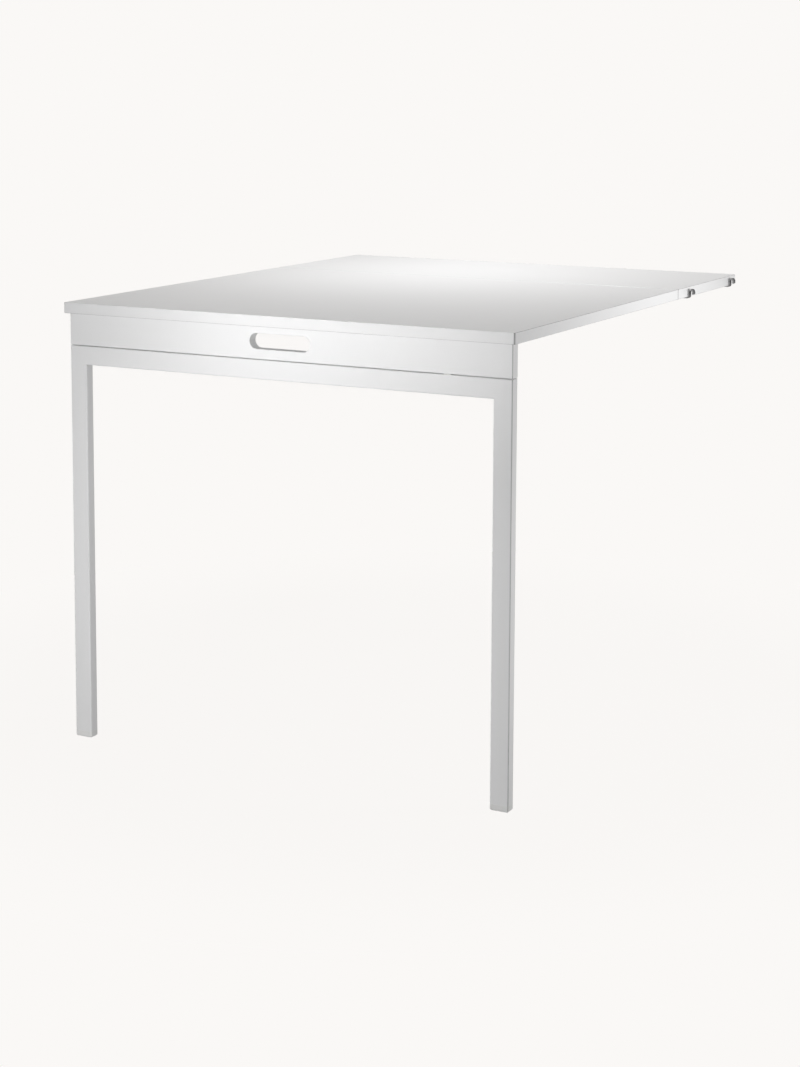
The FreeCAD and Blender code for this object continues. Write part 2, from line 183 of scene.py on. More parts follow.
def oblong(width: float, depth: float) -> BMesh:
    """A flat face in the XY plane, centred on the origin.

    Args:
        width: Its size along X.
        depth: Its size along Y.

    Returns:
        The face as a mesh.
    """
    bm = bmesh.new()
    stretch = Matrix.Diagonal((width, depth, 1.0, 1.0))
    bmesh.ops.create_grid(bm, x_segments=1, y_segments=1, size=0.5, matrix=stretch)
    return bm


def runs_along(edge: BMEdge, axis: Vector) -> bool:
    """Whether an edge is parallel to an axis."""
    span = (edge.verts[1].co - edge.verts[0].co).normalized()
    return abs(span.dot(axis)) > 1.0 - SAME_PLACE


def lies_at(edge: BMEdge, axis: Vector, level: float) -> bool:
    """Whether both ends of an edge are at one level along an axis."""
    return all(abs(vert.co.dot(axis) - level) < SAME_PLACE for vert in edge.verts)


def corner_edges(bm: BMesh) -> list[BMEdge]:
    """The edges where two faces meet at about a right angle."""
    return [edge for edge in bm.edges if edge.calc_face_angle(0.0) > CORNER_TURN]


def move(bm: BMesh, matrix: Matrix) -> None:
    """Move and turn a whole mesh."""
    bmesh.ops.transform(bm, matrix=matrix, verts=bm.verts[:])


def face_out(bm: BMesh) -> None:
    """Turn all faces of a mesh outwards."""
    bmesh.ops.recalc_face_normals(bm, faces=bm.faces[:])


def round_off(
    bm: BMesh, parts: Iterable[BMEdge | BMVert], radius: float, steps: int, kind: str = "EDGES"
) -> None:
    """Round some edges of a mesh, or some corners of a flat one.

    Args:
        bm: The mesh.
        parts: The edges or corners to round.
        radius: The radius of the rounding.
        steps: How many faces make the rounding; one makes a chamfer.
        kind: What the parts are, EDGES or VERTICES.
    """
    bmesh.ops.bevel(
        bm,
        geom=list(parts),
        offset=radius,
        offset_type="OFFSET",
        segments=steps,
        profile=0.5,
        affect=kind,
        clamp_overlap=True,
        loop_slide=False,
        material=-1,
    )


def mark_arrises(
    bm: BMesh, chosen: Callable[[Vector, Vector], bool], finish_index: int = 1
) -> None:
    """Give some of a mesh's rounded edges a finish of their own.

    Args:
        bm: The mesh.
        chosen: Whether a rounded face takes it, from its middle and its normal.
        finish_index: Its place in the piece's list of finishes.
    """
    face_out(bm)
    for face in bm.faces:
        rounded = max(abs(part) for part in face.normal) < STRAIGHT
        if rounded and chosen(face.calc_center_median(), face.normal):
            face.material_index = finish_index


def region(faces: Iterable[BMFace]) -> list[BMFace | BMEdge]:
    """Some faces with their edges, so that drawing them out leaves none behind."""
    chosen = list(faces)
    return [*chosen, *dict.fromkeys(edge for face in chosen for edge in face.edges)]


def drawn_out(bm: BMesh, faces: Iterable[BMFace], run: Vector) -> list[BMFace]:
    """Draw some faces out of a mesh.

    Args:
        bm: The mesh.
        faces: The faces to draw out, as one region.
        run: How far and which way they go.

    Returns:
        The faces at the far end.
    """
    made = bmesh.ops.extrude_face_region(bm, geom=region(faces))["geom"]
    bmesh.ops.translate(bm, verts=[g for g in made if isinstance(g, BMVert)], vec=run)
    return [g for g in made if isinstance(g, BMFace)]


def bent_round(
    bm: BMesh, faces: Iterable[BMFace], centre: Vector, axis: Vector, angle: float, steps: int
) -> list[BMFace]:
    """Draw some faces out of a mesh along an arc.

    Args:
        bm: The mesh.
        faces: The faces to draw out.
        centre: A point on the arc's axis.
        axis: The direction of the arc's axis.
        angle: How far the faces turn, in radians.
        steps: How many lengths make the arc.

    Returns:
        The faces at the far end.
    """
    made = bmesh.ops.spin(
        bm,
        geom=region(faces),
        cent=centre,
        axis=axis,
        angle=angle,
        steps=steps,
        use_merge=False,
        use_duplicate=False,
    )["geom_last"]
    return [g for g in made if isinstance(g, BMFace)]


def cut_across(bm: BMesh, point: Vector, normal: Vector, drop_outer: bool) -> list[BMEdge]:
    """Cut through a mesh.

    Args:
        bm: The mesh.
        point: A point on the cut.
        normal: The direction straight out of the cut.
        drop_outer: Whether what lies that way falls off.

    Returns:
        The edges on the cut.
    """
    cut = bmesh.ops.bisect_plane(
        bm,
        geom=[*bm.verts, *bm.edges, *bm.faces],
        dist=SAME_PLACE,
        plane_co=point,
        plane_no=normal,
        clear_outer=drop_outer,
    )["geom_cut"]
    return [g for g in cut if isinstance(g, BMEdge)]


def lathed(profile: Sequence[tuple[float, float]], steps: int) -> BMesh:
    """A surface turned about the Z axis.

    Args:
        profile: Radius and height of each point of the outline, in order.
        steps: How many faces go round.

    Returns:
        The surface as a mesh, closed where the outline meets the axis.
    """
    bm = bmesh.new()
    verts = [bm.verts.new((radius, 0.0, height)) for radius, height in profile]
    edges = [bm.edges.new(pair) for pair in zip(verts, verts[1:])]
    bmesh.ops.spin(
        bm,
        geom=[*verts, *edges],
        cent=ORIGIN,
        axis=AXIS_Z,
        angle=math.tau,
        steps=steps,
        use_merge=True,
    )
    bmesh.ops.remove_doubles(bm, verts=bm.verts[:], dist=SAME_PLACE)
    return bm


def arc_points(
    centre: tuple[float, float], radius: float, start: float, stop: float, steps: int
) -> list[tuple[float, float]]:
    """Points of an arc in the plane of a lathe's outline.

    Args:
        centre: Radius and height of the arc's centre.
        radius: The arc's radius.
        start: The first point's angle from outwards towards up, in degrees.
        stop: The last point's angle.
        steps: How many lengths the arc has.

    Returns:
        Radius and height of each point.
    """
    angles = [math.radians(turn) for turn in evenly(start, stop, steps + 1)]
    return [
        (centre[0] + radius * math.cos(turn), centre[1] + radius * math.sin(turn))
        for turn in angles
    ]


def finished_mesh(bm: BMesh, name: str) -> bpy.types.Mesh:
    """Turn a mesh in work into one that an object can have.

    Args:
        bm: The mesh in work, which is freed.
        name: The new mesh's name.

    Returns:
        The new mesh.
    """
    mesh = bpy.data.meshes.new(name)
    bm.to_mesh(mesh)
    bm.free()
    return mesh


def copies(bm: BMesh, places: Iterable[Matrix]) -> BMesh:
    """Copy a mesh to several places.

    Args:
        bm: The mesh, which is freed.
        places: Where each copy goes.

    Returns:
        All the copies as one mesh.
    """
    stock = finished_mesh(bm, "stock")
    gathered = bmesh.new()
    for place in places:
        before = len(gathered.verts)
        gathered.from_mesh(stock)
        gathered.verts.ensure_lookup_table()
        bmesh.ops.transform(gathered, matrix=place, verts=gathered.verts[before:])
    bpy.data.meshes.remove(stock)
    return gathered


def mirror(bm: BMesh, axis: Vector) -> None:
    """Turn a mesh into its mirror image through the origin, along an axis."""
    move(bm, Matrix.Scale(-1.0, 4, axis))
    bmesh.ops.reverse_faces(bm, faces=bm.faces[:])


def add_object(name: str, data: bpy.types.ID) -> bpy.types.Object:
    """Add an object to the scene.

    Args:
        name: The object's name.
        data: Its mesh, lamp or camera.

    Returns:
        The object.
    """
    added = bpy.data.objects.new(name, data)
    bpy.context.scene.collection.objects.link(added)
    return added


# ---- Nodes of the finishes ----


class NodeSheet:
    """Adds and links the nodes of one material, world or node group."""

    def __init__(self, tree: bpy.types.NodeTree) -> None:
        """Start on an emptied tree."""
        self.tree = tree
        self.tree.nodes.clear()

    def add(
        self, kind: str, inputs: dict[str | int, object] | None = None, **settings: object
    ) -> bpy.types.Node:
        """Add a node.

        Args:
            kind: The node's type.
            inputs: A value, or a socket to link, for each input by name or number.
            **settings: The node's own settings.

        Returns:
            The new node.
        """
        node = self.tree.nodes.new(kind)
        for name, value in settings.items():
            setattr(node, name, value)
        for name, value in (inputs or {}).items():
            if isinstance(value, Socket):
                self.tree.links.new(value, node.inputs[name])
            else:
                node.inputs[name].default_value = value
        return node

    def first(self, kind: str, inputs: dict[str | int, object], **settings: object) -> Socket:
        """Add a node and return its first output."""
        return self.add(kind, inputs, **settings).outputs[0]

    def noise(self, vector: Socket, scale: Socket, detail: float) -> Socket:
        """Add a noise texture and return its value."""
        inputs = {"Vector": vector, "Scale": scale, "Detail": detail, "Roughness": 0.5}
        return self.first("ShaderNodeTexNoise", inputs, noise_dimensions="3D")

    def maths(self, operation: str, *values: object) -> Socket:
        """Add a Math node over one, two or three values and return its result."""
        return self.first("ShaderNodeMath", dict(enumerate(values)), operation=operation)

    def scaled(self, colour: Socket, factor: Socket) -> Socket:
        """Multiply a colour by a number."""
        inputs = {0: colour, "Scale": factor}
        return self.first("ShaderNodeVectorMath", inputs, operation="SCALE")

    def mapped(
        self, value: Socket, span: tuple[float, float], to: tuple[float, float], **settings: object
    ) -> Socket:
        """Map a number from one span of values to another.

        Args:
            value: The number.
            span: The values that it is mapped from.
            to: The values that it is mapped to.
            **settings: The node's own settings.

        Returns:
            The mapped number.
        """
        names = ("From Min", "From Max", "To Min", "To Max")
        inputs = {"Value": value, **dict(zip(names, (*span, *to)))}
        return self.first("ShaderNodeMapRange", inputs, **settings)

    def shared(self, share: Socket, first: Socket, second: Socket) -> Socket:
        """Mix two shaders by the second one's share."""
        return self.first("ShaderNodeMixShader", {0: share, 1: first, 2: second})


VECTOR = "NodeSocketVector"
COLOUR = "NodeSocketColor"
NUMBER = "NodeSocketFloat"


class EffectSheet(NodeSheet):
    """The nodes of one shared effect, with its inputs and outputs."""

    def __init__(self, name: str, inputs: dict[str, str], outputs: dict[str, str]) -> None:
        """Start a group.

        Args:
            name: The group's name.
            inputs: The socket type of each named input.
            outputs: The socket type of each named output.
        """
        super().__init__(bpy.data.node_groups.new(name, "ShaderNodeTree"))
        for way, sockets in (("INPUT", inputs), ("OUTPUT", outputs)):
            for label, kind in sockets.items():
                self.tree.interface.new_socket(label, in_out=way, socket_type=kind)
        self.given = self.add("NodeGroupInput").outputs
        self.result = self.add("NodeGroupOutput").inputs

    def give(self, label: str, socket: Socket) -> None:
        """Link a socket to one of the group's outputs."""
        self.tree.links.new(socket, self.result[label])


@dataclass
class SharedEffects:
    """The node groups that several finishes use, each built once."""

    groups: dict[str, bpy.types.NodeTree] = field(default_factory=dict)
    gloss_scale: float = 2.7  # how much finer the gloss drifts than the tone
    broad_scale: float = 0.22  # how much less fine the broad ripple is
    fine_scale: float = 3.1  # how much finer the finest lines are

    def build(self) -> None:
        """Build every group."""
        for make in (self.drift, self.ripple, self.drawn_lines, self.painted_arris_shade):
            tree = make().tree
            self.groups[tree.name] = tree

    def drift(self) -> EffectSheet:
        """Slow changes of tone and gloss over a surface.

        Returns:
            The group's nodes.
        """
        inputs = {
            "Vector": VECTOR,
            "Colour": COLOUR,
            "Roughness": NUMBER,
            "Scale": NUMBER,
            "Tone Change": NUMBER,
            "Gloss Change": NUMBER,
        }
        sheet = EffectSheet("finish_drift", inputs, {"Colour": COLOUR, "Roughness": NUMBER})
        given = sheet.given
        drifting = sheet.noise(given["Vector"], given["Scale"], 3.0)
        around_zero = sheet.maths("SUBTRACT", drifting, NOISE_MEAN)
        tone = sheet.maths("MULTIPLY_ADD", around_zero, given["Tone Change"], 1.0)
        sheet.give("Colour", sheet.scaled(given["Colour"], tone))
        closer = sheet.maths("MULTIPLY", given["Scale"], self.gloss_scale)
        drifting = sheet.noise(given["Vector"], closer, 4.0)
        around_zero = sheet.maths("SUBTRACT", drifting, NOISE_MEAN)
        change, middle = given["Gloss Change"], given["Roughness"]
        sheet.give("Roughness", sheet.maths("MULTIPLY_ADD", around_zero, change, middle))
        return sheet

    def ripple(self) -> EffectSheet:
        """The fine orange peel of sprayed or moulded surfaces.

        Returns:
            The group's nodes.
        """
        inputs = {"Vector": VECTOR, "Scale": NUMBER, "Broad Share": NUMBER}
        sheet = EffectSheet("surface_ripple", inputs, {"Height": NUMBER})
        given = sheet.given
        fine = sheet.noise(given["Vector"], given["Scale"], 2.0)
        broad_scale = sheet.maths("MULTIPLY", given["Scale"], self.broad_scale)
        broad = sheet.noise(given["Vector"], broad_scale, 1.0)
        mixing = {0: given["Broad Share"], 2: fine, 3: broad}
        sheet.give("Height", sheet.first("ShaderNodeMix", mixing, data_type="FLOAT"))
        return sheet

    def drawn_lines(self) -> EffectSheet:
        """The long fine lines that rolling, drawing or growing leaves along one axis.

        Returns:
            The group's nodes.
        """
        inputs = {"Vector": VECTOR, "Stretch": VECTOR, "Scale": NUMBER}
        sheet = EffectSheet("drawn_lines", inputs, {"Lines": NUMBER, "Height": NUMBER})
        given = sheet.given
        stretching = {0: given["Vector"], 1: given["Stretch"]}
        along = sheet.first("ShaderNodeVectorMath", stretching, operation="MULTIPLY")
        lines = sheet.noise(along, given["Scale"], 5.0)
        fine_scale = sheet.maths("MULTIPLY", given["Scale"], self.fine_scale)
        fine = sheet.noise(along, fine_scale, 2.0)
        sheet.give("Lines", lines)
        sheet.give("Height", sheet.maths("MULTIPLY", lines, fine))
        return sheet

    def painted_arris_shade(self) -> EffectSheet:
        """A darker line painted along an arris, deepest at its middle: painted shade standing in
        for the shade and dark reflection of a rounded edge.

        Returns:
            The group's nodes.
        """
        inputs = {"Normal": VECTOR, "Colour": COLOUR, "Depth": NUMBER, "Sharpness": NUMBER}
        sheet = EffectSheet("painted_arris_shade", inputs, {"Colour": COLOUR})
        given = sheet.given
        parts = sheet.add("ShaderNodeSeparateXYZ", {0: given["Normal"]}).outputs
        sizes = [sheet.maths("ABSOLUTE", part) for part in parts]
        largest = sheet.maths("MAXIMUM", sheet.maths("MAXIMUM", sizes[0], sizes[1]), sizes[2])
        turned = sheet.mapped(largest, (1.0, EDGE_MIDDLE), (0.0, 1.0))
        line = sheet.maths("POWER", turned, given["Sharpness"])
        kept = sheet.maths("SUBTRACT", 1.0, sheet.maths("MULTIPLY", line, given["Depth"]))
        sheet.give("Colour", sheet.scaled(given["Colour"], kept))
        return sheet


EFFECTS = SharedEffects()


class MaterialSheet(NodeSheet):
    """The nodes of one material, with the places and normals of its piece."""

    def __init__(self, name: str) -> None:
        """Start a material.

        Args:
            name: The material's name.
        """
        self.material = bpy.data.materials.new(name)
        self.material.use_nodes = True
        super().__init__(self.material.node_tree)
        coordinates = self.add("ShaderNodeTexCoord").outputs
        self.place, self.normal = coordinates["Object"], coordinates["Normal"]

    def effect(self, name: str, inputs: dict[str, object]) -> bpy.types.NodeOutputs:
        """Add a shared effect and return its outputs."""
        return self.add("ShaderNodeGroup", inputs, node_tree=EFFECTS.groups[name]).outputs

    def end(self, surface: Socket) -> bpy.types.Material:
        """Give the material its surface and return it."""
        self.add("ShaderNodeOutputMaterial", {"Surface": surface})
        return self.material

    def end_solid(
        self, shown: Colour, relief: Socket, depth: float, inputs: dict[str, object]
    ) -> bpy.types.Material:
        """Give the material a solid surface with a fine relief.

        Args:
            shown: The colour that stands for the material in a plain view.
            relief: The relief's height, from 0 to 1.
            depth: The relief's depth, in metres.
            inputs: The shader's other inputs.

        Returns:
            The material.
        """
        raised = {"Strength": 1.0, "Distance": depth, "Height": relief}
        bump = self.first("ShaderNodeBump", raised)
        self.material.diffuse_color = (*shown, 1.0)
        return self.end(self.first("ShaderNodeBsdfPrincipled", {**inputs, "Normal": bump}))


# ---- Finishes ----


@dataclass(frozen=True)
class Finish:
    """A finish by its material's name and the record's slot that it stands for."""

    name: str
    slot: Slot

    def build(self) -> bpy.types.Material:
        """Make the finish's material."""
        raise NotImplementedError(self.name)


@dataclass(frozen=True)
class DriftingFinish(Finish):
    """A finish whose tone and gloss drift a little over the surface."""

    colour: Colour
    roughness: float
    tone_change: float = 0.02  # as a share
    gloss_change: float = 0.05
    drift_scale: float = 6.0  # how often both drift, per metre

    def drift(self, sheet: MaterialSheet) -> bpy.types.NodeOutputs:
        """Add the drift of colour and roughness.

        Args:
            sheet: The material's nodes.

        Returns:
            The drifting colour and roughness.
        """
        inputs = {
            "Vector": sheet.place,
            "Colour": (*self.colour, 1.0),
            "Roughness": self.roughness,
            "Scale": self.drift_scale,
            "Tone Change": self.tone_change,
            "Gloss Change": self.gloss_change,
        }
        return sheet.effect("finish_drift", inputs)


@dataclass(frozen=True)
class CoatedFinish(DriftingFinish):
    """A sprayed or moulded surface: even colour and fine orange peel, with a painted shade line
    along its arrises where one is asked for.
    """

    peel_scale: float = 600.0  # how fine the orange peel is, per metre
    peel_depth: float = 0.000006
    peel_broad: float = 0.35  # the share of its broader waves
    ior: float = 1.5
    see_in: float = 0.0  # the share of light that spreads below the surface
    see_in_reach: float = 0.001  # how far that light goes, in metres
    painted_shade_depth: float = 0.0  # how much painted shade darkens an arris at its middle, as a share
    arris_sharpness: float = 1.0  # how closely the painted shade line keeps to the middle

    def build(self) -> bpy.types.Material:
        """Make the finish's material.

        Returns:
            The material.
        """
        sheet = MaterialSheet(self.name)
        drift = self.drift(sheet)
        peel = {"Vector": sheet.place, "Scale": self.peel_scale, "Broad Share": self.peel_broad}
        ripple = sheet.effect("surface_ripple", peel)
        colour = drift["Colour"]
        # Painted shade: the colour is darkened along rounded edges, found from the object normal.
        if self.painted_shade_depth > 0.0:
            arris = {
                "Normal": sheet.normal,
                "Colour": colour,
                "Depth": self.painted_shade_depth,
                "Sharpness": self.arris_sharpness,
            }
            colour = sheet.effect("painted_arris_shade", arris)["Colour"]
        inputs = {
            "Base Color": colour,
            "Roughness": drift["Roughness"],
            "IOR": self.ior,
            "Subsurface Weight": self.see_in,
            "Subsurface Radius": (self.see_in_reach,) * 3,
            "Subsurface Scale": 1.0,
        }
        return sheet.end_solid(self.colour, ripple["Height"], self.peel_depth, inputs)


@dataclass(frozen=True)
class RolledSteel(DriftingFinish):
    """Plated or blackened steel with the lines of its rolling."""

    tone_change: float = 0.25
    gloss_change: float = 0.15
    drift_scale: float = 60.0
    metallic: float = 1.0  # the share of bare metal
    sheen_level: float = 0.5  # how strongly what isn't bare metal reflects
    line_stretch: Point = (0.06, 1.0, 1.0)  # smaller along an axis, longer lines
    line_scale: float = 1500.0  # how fine the lines are, per metre
    line_depth: float = 0.000004

    def build(self) -> bpy.types.Material:
        """Make the finish's material.

        Returns:
            The material.
        """
        sheet = MaterialSheet(self.name)
        drift = self.drift(sheet)
        rolling = {
            "Vector": sheet.place, "Stretch": self.line_stretch, "Scale": self.line_scale
        }
        lines = sheet.effect("drawn_lines", rolling)
        inputs = {
            "Base Color": drift["Colour"],
            "Roughness": drift["Roughness"],
            "Metallic": self.metallic,
            "Specular IOR Level": self.sheen_level,
        }
        return sheet.end_solid(self.colour, lines["Height"], self.line_depth, inputs)


@dataclass(frozen=True)
class BeechGrain(Finish):
    """Raw beech with its grain along Z."""

    name: str = "raw_beech"
    slot: Slot = Slot.BEECH_DOWEL
    pale: Colour = (0.66, 0.47, 0.30)  # between the grain lines
    dark: Colour = (0.42, 0.27, 0.15)  # on the grain lines
    pale_from: float = 0.6  # the lines' value from which it is pale
    dark_to: float = 0.35  # the lines' value up to which it is dark
    roughness: float = 0.65
    grain_stretch: Point = (1.0, 1.0, 0.05)
    grain_scale: float = 900.0
    grain_depth: float = 0.00003

    def build(self) -> bpy.types.Material:
        """Make the finish's material.

        Returns:
            The material.
        """
        sheet = MaterialSheet(self.name)
        grain = {
            "Vector": sheet.place, "Stretch": self.grain_stretch, "Scale": self.grain_scale
        }
        lines = sheet.effect("drawn_lines", grain)
        ramp = sheet.add("ShaderNodeValToRGB", {"Fac": lines["Lines"]})
        stops = ((self.dark_to, self.dark), (self.pale_from, self.pale))
        for element, (position, colour) in zip(ramp.color_ramp.elements, stops):
            element.position = position
            element.color = (*colour, 1.0)
        inputs = {"Base Color": ramp.outputs["Color"], "Roughness": self.roughness}
        return sheet.end_solid(self.pale, lines["Height"], self.grain_depth, inputs)


SATIN_LACQUER = CoatedFinish(
    name="satin_lacquer", slot=Slot.WHITE_LACQUER, colour=(0.83, 0.83, 0.832), roughness=0.36
)
# Lacquer with a painted shade line along its rounded edges.
LACQUER_PAINTED_SHADE = replace(
    SATIN_LACQUER, name="lacquer_painted_shade", painted_shade_depth=0.72, arris_sharpness=0.8
)
# The seam's upper edge: glossier lacquer, and a lighter colour that is a painted highlight.
SEAM_POLISH_AND_PAINTED_HIGHLIGHT = replace(
    SATIN_LACQUER, name="seam_arris", colour=(0.92, 0.92, 0.922), roughness=0.2
)
POWDER_COAT = CoatedFinish(
    name="powder_coat",
    slot=Slot.WHITE_POWDER_COAT,
    colour=(0.82, 0.82, 0.822),
    roughness=0.42,
    peel_scale=950.0,
    peel_depth=0.00001,
    peel_broad=0.2,
)
# Powder coat with a painted shade line along its rounded edges.
COAT_PAINTED_SHADE = replace(POWDER_COAT, name="coat_painted_shade", painted_shade_depth=0.6)
MOULDED_PLASTIC = CoatedFinish(
    name="moulded_plastic",
    slot=Slot.WHITE_PLASTIC,
    colour=(0.80, 0.80, 0.79),
    roughness=0.5,
    peel_scale=1800.0,
    peel_depth=0.000008,
    peel_broad=0.1,
    see_in=0.15,
)
# Moulded plastic with a painted shade line along its rounded edges.
PLASTIC_PAINTED_SHADE = replace(MOULDED_PLASTIC, name="plastic_painted_shade", painted_shade_depth=0.6)
SOFT_PAD = CoatedFinish(
    name="soft_pad",
    slot=Slot.PALE_PAD,
    colour=(0.95, 0.95, 0.945),
    roughness=0.6,
    peel_scale=1400.0,
    peel_depth=0.00002,
    see_in=0.4,
)
BLACKENED_STEEL = RolledSteel(
    name="blackened_steel",
    slot=Slot.DARK_STEEL,
    colour=(0.06, 0.06, 0.062),
    roughness=0.5,
    metallic=0.0,
    sheen_level=0.35,
    line_stretch=(1.0, 0.06, 1.0),
)
# Bare cut edges of the strip, whose lighter colour is partly a painted reflection of the front
# light.
SHEARED_STEEL_AND_PAINTED_GLINT = replace(
    BLACKENED_STEEL,
    name="sheared_steel",
    colour=(0.36, 0.36, 0.365),
    roughness=0.32,
    metallic=0.55,
    line_stretch=(1.0, 1.0, 0.06),
)
HINGE_STEEL = RolledSteel(
    name="hinge_steel", slot=Slot.HINGE_STEEL, colour=(0.55, 0.55, 0.56), roughness=0.32
)
ZINC_PLATE = RolledSteel(
    name="zinc_plate",
    slot=Slot.SCREW_STEEL,
    colour=(0.62, 0.62, 0.64),
    roughness=0.28,
    line_stretch=(1.0, 1.0, 1.0),
    line_depth=0.000002,
)
RAW_BEECH = BeechGrain()


# ---- Placing pieces ----


@dataclass
class Workshop:
    """Turns finished meshes into pieces of the table, and makes each material once."""

    materials: dict[str, bpy.types.Material] = field(default_factory=dict)
    sharp_angle: float = math.radians(42.0)  # edges that turn more than this stay sharp
    break_steps: int = 2

    def material(self, finish: Finish) -> bpy.types.Material:
        """The material of a finish, made at its first use.

        Args:
            finish: The finish.

        Returns:
            Its material.
        """
        if finish.name not in self.materials:
            self.materials[finish.name] = finish.build()
        return self.materials[finish.name]

    def place(
        self,
        bm: BMesh,
        name: str,
        body: Body,
        finish: Finish,
        nodes: Sequence[str],
        edge_break: float = 0.0,
        edges: Sequence[Finish] = (),
    ) -> None:
        """Make a piece from a mesh.

        Args:
            bm: The mesh, in the frame's own places; it is freed.
            name: The piece's name.
            body: The body that it rides on.
            finish: Its finish.
            nodes: The nodes that it stands for.
            edge_break: The width by which its sharp edges are broken, in metres.
            edges: The finishes of its marked faces, in the order of their marks.
        """
        face_out(bm)
        mesh = finished_mesh(bm, name)
        mesh.shade_smooth()
        mesh.set_sharp_from_angle(angle=self.sharp_angle)
        for coat in (finish, *edges):
            mesh.materials.append(self.material(coat))
        piece = add_object(name, mesh)
        if edge_break > 0.0:
            self.break_edges(piece, edge_break)
        weigh = piece.modifiers.new("even_shading", "WEIGHTED_NORMAL")
        weigh.keep_sharp = True
        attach(piece, body.value)
        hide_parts(*nodes)
        log.info("%s: %d faces on %s", name, len(mesh.polygons), body.value)

    def break_edges(self, piece: bpy.types.Object, width: float) -> None:
        """Add a narrow rounding to every sharp edge of a piece.

        Args:
            piece: The piece.
            width: The rounding's width, in metres.
        """
        bevel = piece.modifiers.new("edge_break", "BEVEL")
        bevel.width = width
        bevel.segments = self.break_steps
        bevel.limit_method = "ANGLE"
        bevel.angle_limit = self.sharp_angle
        bevel.use_clamp_overlap = True
        bevel.material = -1

    def redress(self, node: str, finish: Finish) -> None:
        """Give a node of the frame, kept as it is, a finish.

        Args:
            node: The node's name.
            finish: Its finish.
        """
        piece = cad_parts[node]
        piece.data.materials.clear()
        piece.data.materials.append(self.material(finish))
        log.info("%s: kept, with %s", node, finish.name)


# ---- Top ----


@dataclass(frozen=True)
class TopBoard:
    """One board of the top."""

    node: str
    name: str
    body: Body
    free_end: int  # the way from the seam to it, 1 to the wall or -1 to the front
    corner_radius: float = 0.003  # at the free end
    edge_radius: float = 0.0008
    seam_radius: float = 0.002  # of the upper edge at the seam
    corner_steps: int = 8
    edge_steps: int = 4

    def build(self) -> BMesh:
        """Round a block's corners and then its edges.

        Returns:
            The board.
        """
        extent = Extent.of_node(self.node)
        ends = (extent.low.y, extent.high.y)
        seam_y, free_y = ends if self.free_end > 0 else ends[::-1]
        bm = block(extent)
        upright = [e for e in bm.edges if runs_along(e, AXIS_Z)]
        corners = [e for e in upright if lies_at(e, AXIS_Y, free_y)]
        round_off(bm, corners, self.corner_radius, self.corner_steps)
        upper = [e for e in bm.edges if lies_at(e, AXIS_Z, extent.high.z)]
        seam = [e for e in upper if lies_at(e, AXIS_Y, seam_y)]
        round_off(bm, seam, self.seam_radius, self.edge_steps)
        round_off(bm, corner_edges(bm), self.edge_radius, self.edge_steps)
        rim = Vector((0.0, seam_y, extent.high.z))
        # Painted shade: a darker line on the chosen rounded edges.
        mark_arrises(bm, lambda at, normal: self.takes_painted_shade(normal))
        # Painted highlight: a lighter colour on the seam's upper edge, together with real polish.
        mark_arrises(bm, lambda at, normal: self.on_seam(at - rim, normal), 2)
        return bm

    def takes_painted_shade(self, normal: Vector) -> bool:
        """Whether a rounded face takes the painted shade line: not on the upper edges along X."""
        return normal.z < SAME_PLACE or abs(normal.x) > HARDLY

    def on_seam(self, from_rim: Vector, normal: Vector) -> bool:
        """Whether a rounded face is on the seam's upper edge, which is polished and made lighter
        as a painted highlight.
        """
        near = max(abs(from_rim.y), abs(from_rim.z)) < self.seam_radius
        return near and abs(normal.x) < HARDLY


